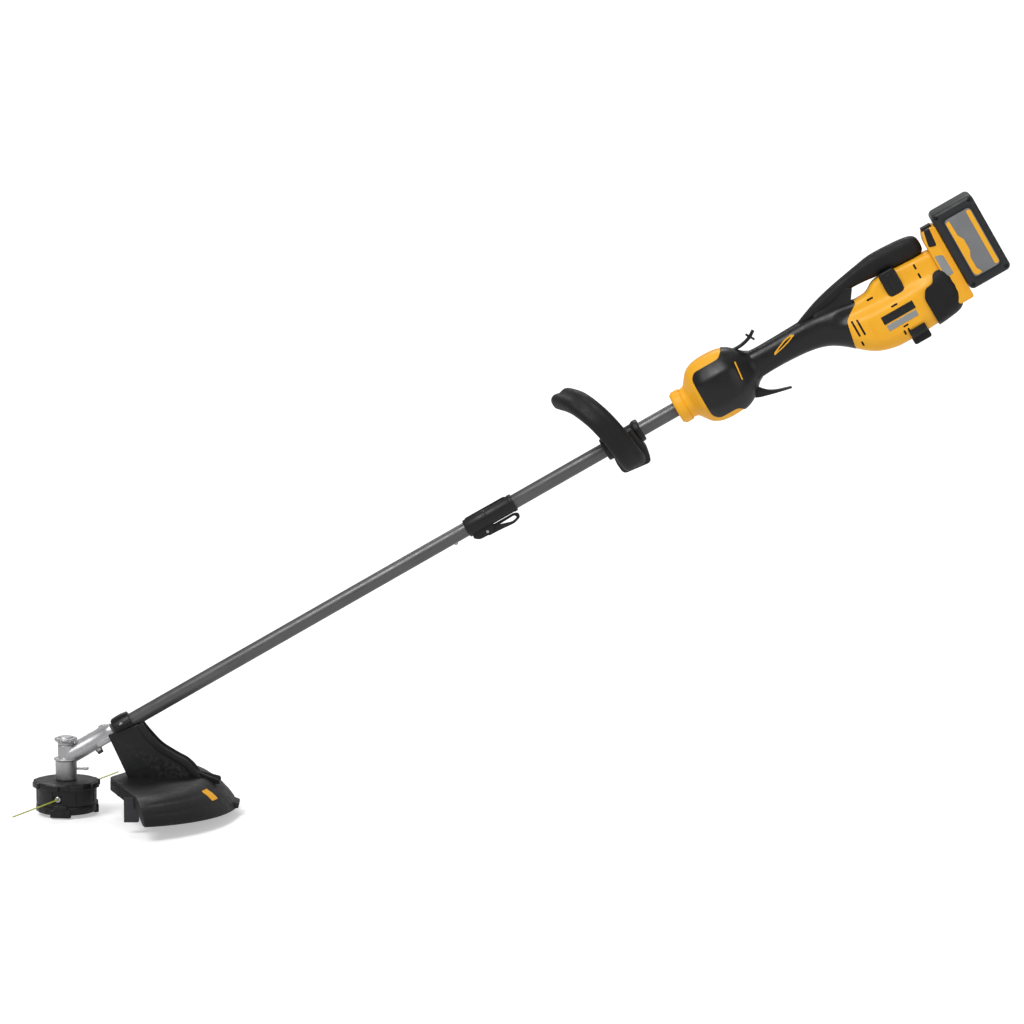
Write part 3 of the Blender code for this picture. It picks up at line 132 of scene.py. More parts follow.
def modified(obj, kind, smooth, **settings):
    """The object with a modifier of this kind applied."""
    modifier = obj.modifiers.new(kind, kind)
    for name, value in settings.items():
        setattr(modifier, name, value)
    return baked(obj, smooth)


def beveled(obj, width, segments=3, angle=35.0):
    """Rounds the edges sharper than this angle; the width is in millimetres."""
    return modified(
        obj, "BEVEL", 50.0, width=width / 1000.0, segments=segments, limit_method="ANGLE",
        angle_limit=math.radians(angle))


def boolean(obj, other, operation="DIFFERENCE"):
    """Cuts one shape with another, which is used up."""
    modified(obj, "BOOLEAN", 35.0, operation=operation, object=other)
    bpy.data.objects.remove(other, do_unlink=True)
    return obj


def block(name, low, high, radius=1.0, space=SHAFT, segments=3):
    """A box between two corners with rounded edges."""
    low, high = Vector(low), Vector(high)
    bm = bmesh.new()
    bmesh.ops.create_cube(bm, size=1.0)
    bmesh.ops.scale(bm, vec=high - low, verts=bm.verts)
    bmesh.ops.translate(bm, vec=(low + high) / 2, verts=bm.verts)
    obj = made(name, bm, space)
    return beveled(obj, radius, segments) if radius else obj


def turned(name, profile, place=Matrix.Identity(4), space=SHAFT, steps=72, radius=0.6):
    """A turned shape on its own z: (radius, height) points down the outer side, closed or on the axis."""
    bm = bmesh.new()
    rows = []
    for k in range(steps):
        angle = math.tau * k / steps
        rows.append([bm.verts.new((r * math.cos(angle), r * math.sin(angle), h)) for r, h in profile])
    count = len(profile)
    closed = profile[0][0] > 0.0
    for k in range(steps):
        here, there = rows[k], rows[(k + 1) % steps]
        for i in range(count if closed else count - 1):
            j = (i + 1) % count
            bm.faces.new((here[i], here[j], there[j], there[i]))
    bmesh.ops.remove_doubles(bm, verts=bm.verts, dist=0.0001)
    obj = made(name, bm, space @ place, 30.0)
    return beveled(obj, radius, 2, 30.0) if radius else obj


def rod(name, radius, start, end, place=Matrix.Identity(4), space=SHAFT, edge=0.4, steps=32):
    return turned(
        name, [(0.0, end), (radius, end), (radius, start), (0.0, start)], place, space, steps, edge)


ALONG = Matrix.Rotation(math.radians(90.0), 4, "Y")
ACROSS = Matrix.Rotation(math.radians(90.0), 4, "X")


def at(x, y, z, turn=Matrix.Identity(4)):
    return Matrix.Translation((x, y, z)) @ turn


def about_z(angle):
    return Matrix.Rotation(angle, 4, "Z")


def arc_corners(points, radius):
    """The outline with each corner rounded off; a corner may carry its own radius."""
    rounded = []
    count = len(points)
    for i, point in enumerate(points):
        here = Vector(point[:2])
        before, after = Vector(points[i - 1][:2]), Vector(points[(i + 1) % count][:2])
        reach = point[2] if len(point) > 2 else radius
        reach = min(reach, (before - here).length * 0.45, (after - here).length * 0.45)
        start = here + (before - here).normalized() * reach
        end = here + (after - here).normalized() * reach
        for k in range(CORNER_STEPS + 1):
            u = k / CORNER_STEPS
            rounded.append(start * (1 - u) ** 2 + here * 2 * u * (1 - u) + end * u**2)
    return rounded


def slab(name, outline, y0, y1, radius=1.0, corner=2.0, space=SHAFT, segments=3):
    """A flat piece: an outline of (x, z) points with rounded corners, from y0 to y1."""
    points = arc_corners(outline, corner) if corner else [Vector(point[:2]) for point in outline]
    bm = bmesh.new()
    face = bm.faces.new([bm.verts.new((p.x, y0, p.y)) for p in points])
    grown = bmesh.ops.extrude_face_region(bm, geom=[face])
    moved = [item for item in grown["geom"] if isinstance(item, bmesh.types.BMVert)]
    bmesh.ops.translate(bm, vec=(0.0, y1 - y0, 0.0), verts=moved)
    obj = made(name, bm, space)
    return beveled(obj, radius, segments, 50.0) if radius else obj


def skin(name, rings, space=SHAFT, caps=True, closed=True):
    """A skin over rings of equally many points."""
    bm = bmesh.new()
    rows = [[bm.verts.new(point) for point in ring] for ring in rings]
    count = len(rows[0])
    for low, high in zip(rows, rows[1:]):
        for i in range(count if closed else count - 1):
            j = (i + 1) % count
            bm.faces.new((low[i], low[j], high[j], high[i]))
    if caps:
        bm.faces.new(rows[0])
        bm.faces.new(rows[-1])
    return made(name, bm, space)


def subdivided(obj, levels):
    return modified(obj, "SUBSURF", 60.0, levels=levels, render_levels=levels)


def inflated(obj, name, distance):
    """A copy pushed out along its normals, by millimetres."""
    copy = duplicate(obj, name)
    for vertex, normal in zip(copy.data.vertices, [v.normal.copy() for v in copy.data.vertices]):
        vertex.co += normal * distance / 1000.0
    return copy


def superellipse(half_y, half_z, power, count):
    """Points of a rounded box, from its top round towards +y."""
    points = []
    for k in range(count):
        turned_by = math.tau * k / count
        y, z = (math.copysign(abs(x) ** (2 / power), x) for x in (math.sin(turned_by), math.cos(turned_by)))
        points.append((half_y * y, half_z * z))
    return points


def smooth_rows(table, per_span):
    """Rows of numbers on smooth curves through the table's rows, by their first column."""
    rows = []
    last = len(table) - 1
    slopes = []
    for i in range(len(table)):
        before, after = table[max(i - 1, 0)], table[min(i + 1, last)]
        span = after[0] - before[0]
        slopes.append([(b - a) / span for a, b in zip(before, after)])
    for i in range(last):
        start, end = table[i], table[i + 1]
        span = end[0] - start[0]
        for k in range(per_span):
            u = k / per_span
            h0, h1 = 2 * u**3 - 3 * u**2 + 1, -2 * u**3 + 3 * u**2
            g0, g1 = u**3 - 2 * u**2 + u, u**3 - u**2
            row = [
                h0 * a + g0 * span * p + h1 * b + g1 * span * q
                for a, b, p, q in zip(start, end, slopes[i], slopes[i + 1])]
            rows.append(row)
    rows.append(list(table[-1]))
    return rows


def swept(name, path, section, space=SHAFT, broad=Vector((1.0, 0.0, 0.0)), taper=None):
    """A section carried along a path; its first axis stays as near to `broad` as it can."""
    rings = []
    for i, place in enumerate(path):
        ahead = (path[min(i + 1, len(path) - 1)] - path[max(i - 1, 0)]).normalized()
        side = ahead.cross(broad).normalized()
        wide = side.cross(ahead).normalized()
        size = taper(i / (len(path) - 1)) if taper else 1.0
        rings.append([place + wide * a * size + side * b * size for a, b in section])
    return skin(name, rings, space)


def curve_through(points, per_span=8):
    rows = [[i, *point] for i, point in enumerate(points)]
    return [Vector(row[1:4]) for row in smooth_rows(rows, per_span)]


def merged(name, *objs):
    """One object that holds all of these shapes."""
    bm = bmesh.new()
    for obj in objs:
        bm.from_mesh(obj.data)
        bpy.data.objects.remove(obj, do_unlink=True)
    return object_of(name, bm, 40.0)


# Materials


class Nodes:
    """A material's node tree, with short calls for the nodes that these finishes share."""

    def __init__(self, name):
        self.material = bpy.data.materials.new(name)
        self.material.use_nodes = True
        self.tree = self.material.node_tree
        self.shader = self.tree.nodes["Principled BSDF"]
        self.place = self.new("TexCoord").outputs["Object"]

    def link(self, start, end):
        self.tree.links.new(start, end)

    def fill(self, node, inputs):
        """Sets a node's inputs by name: each to a value, or linked to another node's output."""
        for name, value in inputs.items():
            if isinstance(value, bpy.types.NodeSocket):
                self.link(value, node.inputs[name])
            else:
                node.inputs[name].default_value = value

    def new(self, kind, **inputs):
        node = self.tree.nodes.new("ShaderNode" + kind)
        self.fill(node, inputs)
        return node

    def scaled(self, scale):
        return self.new("Mapping", Scale=scale, Vector=self.place).outputs["Vector"]

    def noise(self, scale, detail=3.0, vector=None):
        vector = vector or self.place
        return self.new("TexNoise", Scale=scale, Detail=detail, Vector=vector).outputs["Fac"]

    def ranged(self, value, low, high, start=0.3, end=0.7):
        """The value carried from start..end to low..high."""
        ends = {"From Min": start, "From Max": end, "To Min": low, "To Max": high}
        return self.new("MapRange", Value=value, **ends).outputs["Result"]

    def mixed(self, factor, first, second):
        node = self.new("Mix")
        node.data_type = "RGBA"
        self.link(factor, node.inputs["Factor"])
        for socket, value in ((node.inputs["A"], first), (node.inputs["B"], second)):
            if isinstance(value, tuple):
                socket.default_value = (*value, 1.0)
            else:
                self.link(value, socket)
        return node.outputs["Result"]

    def bumped(self, height, strength, distance, normal=None):
        node = self.new("Bump", Strength=strength, Distance=distance, Height=height)
        if normal:
            self.link(normal, node.inputs["Normal"])
        return node.outputs["Normal"]


def tinted(colour, factor):
    return tuple(min(1.0, channel * factor) for channel in colour)


def finish(
    name, colour, roughness, metallic=0.0, grain=1500.0, depth=0.00006, mottle=0.08, wear=0.35,
    stretch=None, coat=0.0, shine=0.5
):
    """Moulded or metal surface: fine grain, broad mottling, uneven gloss, and worn bright edges."""
    n = Nodes(name)
    surface = {"Metallic": metallic, "Coat Weight": coat, "Coat Roughness": 0.2}
    n.fill(n.shader, {**surface, "Specular IOR Level": shine})
    broad = n.noise(22.0, 4.0)
    body = n.mixed(n.ranged(broad, 0.0, 1.0), tinted(colour, 1.0 - mottle), tinted(colour, 1.0 + mottle))
    edge = n.new("NewGeometry").outputs["Pointiness"]
    scuffs = n.ranged(n.noise(160.0, 5.0), 0.0, 1.0, 0.45, 0.75)
    rubbed = n.new("Math")
    rubbed.operation = "MULTIPLY"
    n.link(n.ranged(edge, 0.0, wear, 0.53, 0.62), rubbed.inputs[0])
    n.link(scuffs, rubbed.inputs[1])
    pale = tuple(channel * 0.6 + 0.12 for channel in colour)
    n.link(n.mixed(rubbed.outputs["Value"], body, pale), n.shader.inputs["Base Color"])
    gloss = n.noise(70.0, 3.0)
    n.link(n.ranged(gloss, roughness - 0.07, roughness + 0.09), n.shader.inputs["Roughness"])
    vector = n.scaled(stretch) if stretch else None
    n.link(n.bumped(n.noise(grain, 2.0, vector), 0.5, depth), n.shader.inputs["Normal"])
    return n.material


def pebbled(name, colour, roughness, cell=900.0, depth=0.00018):
    """Overmoulded rubber: a small pebble grain over a soft unevenness."""
    n = Nodes(name)
    broad = n.noise(30.0, 4.0)
    n.link(
        n.mixed(n.ranged(broad, 0.0, 1.0), tinted(colour, 0.85), tinted(colour, 1.2)),
        n.shader.inputs["Base Color"])
    n.link(n.ranged(n.noise(90.0), roughness - 0.06, roughness + 0.08), n.shader.inputs["Roughness"])
    cells = n.new("TexVoronoi", Scale=cell, Vector=n.place)
    soft = n.bumped(n.noise(260.0, 2.0), 0.35, 0.0002)
    n.link(n.bumped(cells.outputs["Distance"], 0.6, depth, soft), n.shader.inputs["Normal"])
    n.shader.inputs["Specular IOR Level"].default_value = 0.3
    return n.material


YELLOW = (1.0, 0.47, 0.02)
FINISHES = {
    "yellow": finish("yellow_plastic", YELLOW, 0.42, grain=2200.0, mottle=0.04, wear=0.15, shine=0.35),
    "black": finish("black_plastic", (0.009, 0.009, 0.0095), 0.42, grain=1400.0, depth=0.00009, shine=0.35),
    "shell_black": finish(
        "black_shell", (0.007, 0.007, 0.0075), 0.36, grain=1800.0, depth=0.00005, shine=0.4),
    "guard": finish(
        "guard_plastic", (0.01, 0.01, 0.0105), 0.45, grain=900.0, depth=0.00012, mottle=0.15, shine=0.35),
    "rubber": pebbled("soft_grip", (0.008, 0.008, 0.0085), 0.55),
    "grey": finish("battery_grey", (0.022, 0.023, 0.025), 0.45, grain=1500.0, depth=0.0001, shine=0.35),
    "panel": finish("panel_grey", (0.2, 0.203, 0.21), 0.4, grain=2400.0, wear=0.1),
    "label": finish("label_grey", (0.33, 0.34, 0.345), 0.35, metallic=0.3, grain=2600.0, wear=0.1),
    "cast": finish("cast_alloy", (0.50, 0.50, 0.51), 0.42, 0.85, grain=700.0, depth=0.00014, mottle=0.1),
    "tube": finish(
        "painted_tube", (0.12, 0.12, 0.122), 0.38, 0.55, grain=1100.0, depth=0.00005,
        stretch=(0.04, 1.0, 1.0)),
    "steel": finish(
        "steel", (0.5, 0.5, 0.51), 0.3, 1.0, grain=1600.0, depth=0.00003, stretch=(1.0, 1.0, 0.1)),
    "blued": finish("dark_steel", (0.06, 0.06, 0.065), 0.35, 0.9, grain=1600.0, depth=0.00004),
    "winding": finish(
        "copper_winding", (0.55, 0.22, 0.09), 0.35, 1.0, grain=900.0, depth=0.0002, stretch=(0.1, 1.0, 1.0)
    ),
    "line": finish("nylon_line", (0.52, 0.56, 0.06), 0.35, grain=1200.0, depth=0.00004, coat=0.3),
    "board": finish("circuit_board", (0.015, 0.16, 0.05), 0.4, grain=600.0, coat=0.3)
}


def piece(obj, body, look, *nodes):
    """Gives a shape its finish and body, and hides the frame's nodes it stands for."""
    obj.data.materials.clear()
    obj.data.materials.append(FINISHES[look])
    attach(obj, body)
    if nodes:
        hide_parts(*nodes)
    return obj


ROOT = "power_head"


# Tubes, coupler and drive


def build_tubes():
    for name, body in (("lower_tube", "attachment"), ("upper_tube", ROOT)):
        start, end = shaft_span(name)
        inner = TUBE - TUBE_WALL
        profile = [(TUBE, end), (TUBE, start), (inner, start), (inner, end)]
        tube = turned(name + "_skin", profile, ALONG, steps=96, radius=0.4)
        piece(tube, body, "tube", name)
    button = turned(
        "button_cap", [(0, 3.3), (1.8, 3), (3, 2), (3.4, 0.6), (3.4, -4), (0, -4)],
        at(BUTTON_PLACE, 0.0, -TUBE, Matrix.Rotation(math.pi, 4, "X")), steps=32, radius=0.0)
    piece(button, "button", "steel", "locating_button")


def shaft_span(node):
    """Where a node that is turned about the shaft starts and ends along it, in millimetres."""
    mesh = frame["nodes"][node].data
    along = [(vertex.co - APEX).dot(AXIS) * 1000.0 for vertex in mesh.vertices]
    return min(along), max(along)


def build_coupler():
    start, end = shaft_span("coupler_sleeve")
    rings = [
        (15.9, end), (15.9, end - 6.0), (15.2, end - 7.0), (15.2, start + 42.0), (16.1, start + 41.0),
        (16.1, start + 2.0), (15.2, start), (12.9, start), (12.9, end)]
    sleeve = turned("coupler_sleeve_skin", rings, ALONG, steps=80, radius=0.5)
    ears = [
        slab(
            f"ear_{side}",
            [
                (start + 5.0, -12.0), (start + 3.0, -20.0), (start + 12.0, -27.0, 6.0), (839, -27.5, 6),
                (846, -19), (848, -11)],
            y, y + 4.6, 1.2, 3.0)
        for side, y in (("near", -9.2), ("far", 4.6))]
    rib = slab(
        "sleeve_rib", [(start + 2.0, 12.0), (start + 6.0, 17.6), (end - 12.0, 17.2), (end - 3.0, 12.0)],
        -2.5, 2.5, 0.8, 3.0)
    piece(merged("coupler_body", sleeve, *ears, rib), ROOT, "black", "coupler_sleeve")
    outline = [
        (827.6, -18.5, 3), (827, -24, 3), (830, -29.5, 4), (850, -30, 10), (880, -32.5, 8), (893, -28, 6),
        (894, -20, 6), (886, -16.4, 4), (836, -16.4, 6)]
    lever = slab("coupler_lever_skin", outline, -4.2, 4.2, 1.4, 3.0)
    hole = slab(
        "lever_hole", [(853, -21, 3), (878, -28.6, 5), (888, -25.6, 4), (886, -20, 4)], -12.0, 12.0, 0.0,
        3.0)
    piece(boolean(lever, hole), "coupler_lever", "black", "coupler_lever")
    pin = rod("coupler_pin_skin", 2.6, -10.6, 10.6, at(LEVER_PIN[0], 0.0, LEVER_PIN[1], ACROSS))
    piece(pin, ROOT, "steel", "coupler_pin")


# Front handle


def build_front_handle():
    start, end = HANDLE_CLAMP
    middle = (start + end) / 2
    outline = [
        (middle - 25.0, 12.0, 10.0), (middle - 29.0, -30.0, 4.0), (middle - 27.0, -50.0, 8.0),
        (middle + 25.0, -56.0, 8.0), (middle + 30.0, -30.0, 6.0), (middle + 24.0, 14.0, 8.0)]
    base = slab("clamp_block", outline, -25.0, 25.0, 5.0, 6.0, segments=4)
    collars = turned(
        "clamp_collars",
        [
            (19.5, end), (20.5, end - 3.0), (20.5, end - 9.0), (17.6, end - 14.0), (17.6, start + 14.0),
            (20.5, start + 9.0), (20.5, start + 3.0), (19.5, start), (12.9, start), (12.9, end)],
        ALONG, steps=64)
    recess = slab(
        "clamp_recess",
        [
            (middle - 14.0, -8.0, 10.0), (middle - 16.0, -38.0, 12.0), (middle + 14.0, -40.0, 12.0),
            (middle + 16.0, -10.0, 10.0)],
        -40.0, -21.5, 0.0, 8.0)
    boolean(base, recess)
    body = merged("handle_clamp_skin", base, collars)
    piece(body, "front_handle", "black", "handle_clamp")
    points = [
        (1112, -18, -36), (1112, -46, -33), (1110, -70, -8), (1106, -82, 28), (1097, -77, 64),
        (1081, -52, 97), (1063, -14, 112), (1055, 12, 113)]
    section = superellipse(21.5, 15.0, 2.7, 32)
    grooved = [(a, b * (1.0 - 0.22 * math.exp(-((a / 7.0) ** 2))) if b < 0 else b) for a, b in section]

    def taper(u):
        return 1.0 if u < 0.9 else math.sqrt(max(0.0, 1.0 - ((u - 0.9) / 0.101) ** 2))

    bar = swept("front_handle_bar", curve_through(points, 14), grooved, taper=taper)
    piece(bar, "front_handle", "rubber", "front_handle")
    bolt = rod("clamp_bolt", 5.0, 24.0, 28.5, at(middle, 0.0, -28.0, about_z(math.pi) @ ACROSS), edge=0.8)
    piece(bolt, "front_handle", "steel")


# Motor housing

BULB = [
    (1238, 27), (1247, 29), (1254, 38), (1263, 50), (1276, 57.5), (1292, 60.5), (1312, 60.5), (1330, 58),
    (1344, 51), (1356, 40), (1366, 30), (1374, 25.5)
]


def bulb_ring(place, radius, count=72):
    """A round section with eight soft facets that fade out towards the ends."""
    strength = 0.55 * min(1.0, max(0.0, (radius - 34.0) / 20.0))
    ring = []
    for k in range(count):
        angle = math.tau * k / count
        wedge = (angle + math.pi / 8) % (math.pi / 4) - math.pi / 8
        facet = (math.cos(math.pi / 8) / math.cos(wedge)) ** strength
        ring.append(
            Vector((place, radius * 0.95 * facet * math.sin(angle), radius * facet * math.cos(angle))))
    return ring


def build_motor_housing():
    rows = smooth_rows(BULB, 5)
    bulb = skin("bulb", [bulb_ring(s, r) for s, r in rows])
    outline = [
        (1268, -36, 8), (1268, 34, 8), (1277, 44, 6), (1326, 44, 6), (1339, 56, 5), (1339, 80), (1400, 80),
        (1400, -80), (1322, -80), (1322, -56, 5), (1312, -47, 6), (1277, -47, 6)]
    black = inflated(bulb, "motor_panels", 1.4)
    boolean(black, slab("panel_mask", outline, -90.0, 90.0, 0.0, 4.0, segments=1), "INTERSECT")
    grown = [(s - 0.6, t, *rest) for s, t, *rest in outline]
    boolean(bulb, slab("shell_mask", grown, -90.0, 90.0, 0.0, 4.0))
    split(bulb, "motor_shell", "yellow", 1.2)
    split(black, "side_panel", "shell_black", 1.2)
    collar = turned(
        "motor_collar",
        [
            (27.5, 1252), (27.5, 1246), (25, 1243), (25, 1238), (27.8, 1235), (27.8, 1222),
            (25.5, COLLAR_START), (12.9, COLLAR_START), (12.9, 1252)],
        ALONG)
    lugs = [
        block(f"lug_{i}", (1222.0, -7.0, 24.0 * side - 5.0), (1238.0, 7.0, 24.0 * side + 5.0), 2.0)
        for i, side in enumerate((-1, 1))]
    piece(merged("motor_collar_ring", collar, *lugs), ROOT, "yellow")
    for side, word in SIDES:
        path = curve_through(
            [(1347.0, side * 44.0, 26.0), (1345.5, side * 49.5, 12.0), (1343.5, side * 50.5, -6.0)], 10)
        stripe = swept(f"panel_stripe_{word}", path, superellipse(1.2, 1.6, 2.6, 16))
        piece(stripe, ROOT, "yellow")


def split(obj, name, look, gap=0.4):
    """Cuts a piece on the middle plane into left and right ones that stand for the frame's halves."""
    for side, word in SIDES:
        half = duplicate(obj, f"{name}_{word}_skin")
        bm = bmesh.new()
        bm.from_mesh(half.data)
        plane = Vector((0.0, side * gap / 2000.0, 0.0))
        geom = bm.verts[:] + bm.edges[:] + bm.faces[:]
        cut = bmesh.ops.bisect_plane(
            bm, geom=geom, plane_co=plane, plane_no=(0.0, -side, 0.0), clear_outer=True)
        edges = [item for item in cut["geom_cut"] if isinstance(item, bmesh.types.BMEdge)]
        bmesh.ops.holes_fill(bm, edges=edges)
        bmesh.ops.recalc_face_normals(bm, faces=bm.faces)
        bm.to_mesh(half.data)
        bm.free()
        half.data.set_sharp_from_angle(angle=math.radians(38.0))
        piece(half, ROOT, look, f"{name}_{word}")
    bpy.data.objects.remove(obj, do_unlink=True)


# Neck and rear housing

# place, half width, top, bottom
NECK = [
    (1362, 25, 27, -27), (1374, 23.5, 25, -25), (1400, 22.5, 23.5, -23.5), (1440, 22.5, 23.5, -24.5),
    (1478, 24, 25, -28), (1505, 28, 25, -37), (1528, 34, 22, -54)
]
# place, bottom, shoulder, top, half width below the shoulder, half width above it
REAR = [
    (1546, -71, -12, 18, 40, 25), (1566, -86, -15, 12.5, 43, 23.5), (1588, -93, -17, 12, 44, 23.5),
    (1604, -96, -18, 14, 44, 23.5), (1616, -96.5, -18, 27, 44, 23.5), (1650, -96.5, -18, 27, 44, 23.5),
    (1690, -95, -18, 25, 42, 25.5), (1712, -92, -17, 24, 40, 28), (1744, -88, -16, 24, 38, 31)
]
NECK_POINTS = 24


def neck_ring(place, half, top, bottom):
    middle = (top + bottom) / 2
    return [
        Vector((place, y, z + middle))
        for y, z in superellipse(half, (top - bottom) / 2, 2.5, NECK_POINTS)]


def rear_ring(place, bottom, shoulder, top, wide, narrow):
    half = [
        (0.0, top), (narrow * 0.35, top), (narrow * 0.78, top - 1.5), (narrow, top - 8.0),
        (narrow + 0.5, (top + shoulder) / 2), (narrow + 2.0, shoulder + 7.0), (wide - 3.0, shoulder - 3.0),
        (wide, shoulder - 14.0), (wide + 0.5, (shoulder + bottom) / 2), (wide, bottom + 26.0),
        (wide - 5.0, bottom + 11.0), (wide - 18.0, bottom + 2.0), (0.0, bottom)]
    other = [(-y, z) for y, z in reversed(half[1:-1])]
    return [Vector((place, y, z)) for y, z in half + other]


def slot_block(place, height, long, wide, along_shaft=True):
    """A vent slot's outline, at a place along the shaft and a height over it."""
    half_s, half_t = (long / 2, wide / 2) if along_shaft else (wide / 2, long / 2)
    return [
        (place - half_s, height - half_t), (place + half_s, height - half_t),
        (place + half_s, height + half_t), (place - half_s, height + half_t)]


VENTS = [
    slot_block(1554.0, -29.0, 30.0, 3.6, False), slot_block(1563.0, -31.0, 30.0, 3.6, False),
    slot_block(1552.0, -57.0, 9.0, 3.6, False), slot_block(1630.8, -26.0, 12.0, 3.6),
    slot_block(1600.0, 2.0, 12.0, 3.6), slot_block(1631.0, -66.0, 10.0, 3.4),
    slot_block(1624.0, -76.0, 9.0, 3.6, False), slot_block(1632.0, -76.0, 9.0, 3.6, False),
    slot_block(1693.5, 12.0, 10.0, 3.6, False), slot_block(1693.0, -5.0, 10.0, 3.6, False)
]


def rear_master():
    cage = skin("rear_master", [neck_ring(*row) for row in NECK] + [rear_ring(*row) for row in REAR])
    return subdivided(cage, 3)


def build_neck_and_housing():
    master = rear_master()
    boundary = [
        (1300, 90), (1573, 90), (1575, 8, 4), (1547, -10, 6), (1537, -60, 8), (1545, -130), (1300, -130)]
    black = inflated(master, "neck", 0.5)
    boolean(black, slab("neck_mask", boundary, -90.0, 90.0, 0.0, 3.0), "INTERSECT")
    housing = inflated(master, "housing", 0.0)
    boolean(housing, slab("housing_mask", boundary, -90.0, 90.0, 0.0, 3.0))
    boolean(housing, block("receiver_mask", (HOUSING_END, -90.0, -150.0), (1800.0, 90.0, 90.0), 0.0))
    slots = merged(
        "vent_cutters",
        *(slab(f"vent_{i}", outline, -80.0, 80.0, 0.0, 1.6) for i, outline in enumerate(VENTS)))
    liner = inflated(housing, "vent_liner", -3.2)
    boolean(housing, slots)
    piece(liner, ROOT, "black")
    label_recess(housing)
    split(black, "neck_shell", "shell_black")
    split(housing, "housing", "yellow")
    build_bumpers(master)
    build_inlays()


def label_recess(housing):
    """A shallow recess on each side with two plain plates in it."""
    outline = [
        (1578, -30, 8), (1590, -24, 8), (1664, -24, 8), (1672, -32, 8), (1672, -62, 10), (1655, -74, 8),
        (1588, -72, 10), (1578, -60, 8)]
    for side, word in SIDES:
        deep, out = sorted((side * 42.6, side * 70.0))
        boolean(housing, slab("recess", outline, deep, out, 0.0, 6.0))
        bars = (
            ("name_bar", (1600.0, -47.5), (1661.0, -33.0), "black", 43.6),
            ("rating_bar", (1602.0, -61.0), (1659.0, -50.0), "label", 43.3))
        for name, low, high, look, face in bars:
            y0, y1 = sorted((side * 41.0, side * face))
            plate = block(f"{name}_{word}", (low[0], y0, low[1]), (high[0], y1, high[1]), 0.8)
            piece(plate, ROOT, look)


def build_bumpers(master):
    bumper = inflated(master, "rear_bumper_skin", 4.0)
    outline = [
        (1682, -100, 4), (1681, -42, 6), (1690, -28, 5), (1706, -26, 5), (1713, -13, 6), (1722, -10, 5),
        (1733, -15, 5), (1738, -26, 8), (1741, -50, 8), (1740, -100, 10), (1730, -120), (1690, -120)]
    boolean(bumper, slab("bumper_mask", outline, -90.0, 90.0, 0.0, 4.0), "INTERSECT")
    piece(beveled(bumper, 1.2, 2, 60.0), ROOT, "rubber", "rear_bumper")
    strap = inflated(master, "foot_strap", 3.2)
    boolean(strap, block("strap_mask", (1630.0, -90.0, -120.0), (1661.0, 90.0, -77.0), 0.0), "INTERSECT")
    foot = block("foot_block", (1629.0, -26.0, -106.5), (1662.0, 26.0, -88.0), 4.0, segments=4)
    piece(merged("foot_bumper_skin", strap, foot), ROOT, "rubber", "foot_bumper")
    bpy.data.objects.remove(master, do_unlink=True)


def build_inlays():
    """A plain outlined inlay on each side of the neck, and its top ridge."""
    outer = [(1411, -1), (1430, 3), (1444, 7), (1458, 13), (1452, 16), (1438, 14), (1424, 8), (1413, 3.5)]
    inner = [(1415.5, 1.4), (1430, 5), (1443, 9), (1451, 12.4), (1450, 13.6), (1439, 11.8), (1425, 6.4)]
    for side, word in SIDES:
        y0, y1 = sorted((side * 17.0, side * 23.4))
        ring = slab(f"neck_inlay_{word}", outer, y0, y1, 0.0, 1.5)
        boolean(ring, slab("inlay_hole", inner, -60.0, 60.0, 0.0, 1.0))
        piece(ring, ROOT, "yellow")
    path = curve_through([(1378, 0, 22.5), (1420, 0, 23), (1460, 0, 24), (1496, 0, 25.5)], 8)
    ridge = swept("neck_ridge", path, superellipse(2.0, 3.0, 2.5, 16), broad=Vector((0.0, 0.0, 1.0)))
    piece(ridge, ROOT, "shell_black")


# place, middle height, half height, half width
GRIP = [
    (1470, 21, 4, 9), (1490, 26, 7, 13), (1515, 31, 11, 17), (1545, 37, 13, 18), (1575, 43.5, 12.5, 17),
    (1605, 46, 15.5, 17.5), (1635, 46.5, 19.5, 18.5), (1675, 44.5, 20.5, 19), (1700, 42.5, 20, 18.5),
    (1714, 41.5, 17, 16), (1720, 41, 11, 11), (1721.5, 41, 4, 4)
]


def build_loop_grip():
    rings = []
    for place, middle, half_height, half_width in smooth_rows(GRIP, 6):
        section = superellipse(half_width, half_height, 2.6, 48)
        rings.append([Vector((place, y, z + middle)) for y, z in section])
    grip = skin("loop_grip_skin", rings)
    piece(grip, ROOT, "rubber", "loop_grip")
    bridge = [
        (1498, 22), (1530, 4), (1552, -3), (1574, 4, 5), (1570, 14, 6), (1584, 34, 4), (1560, 42),
        (1520, 34)]
    web = slab("grip_root", bridge, -16.0, 16.0, 3.0, 4.0, segments=3)
    piece(web, ROOT, "shell_black")


def build_paddle():
    cheeks = []
    for side in (-1, 1):
        y0, y1 = sorted((side * 24.6, side * 31.0))
        outline = [(1630.5, 31, 8), (1630.5, -15.5, 13), (1661.5, -15.5, 13), (1661.5, 31, 8)]
        cheeks.append(slab(f"cheek_{side}", outline, y0, y1, 2.6, 8.0, segments=4))
        rib0, rib1 = sorted((side * 29.0, side * 32.2))
        cheeks.append(
            slab(
                f"cheek_rib_{side}", [(1641, 24), (1641, -9), (1651, -9), (1651, 24)], rib0, rib1, 1.5, 4.5)
        )
    bridge = block("paddle_bridge", (1632.0, -26.0, 26.2), (1660.0, 26.0, 30.8), 1.5)
    piece(merged("speed_paddle_skin", *cheeks, bridge), "speed_paddle", "black", "speed_paddle")


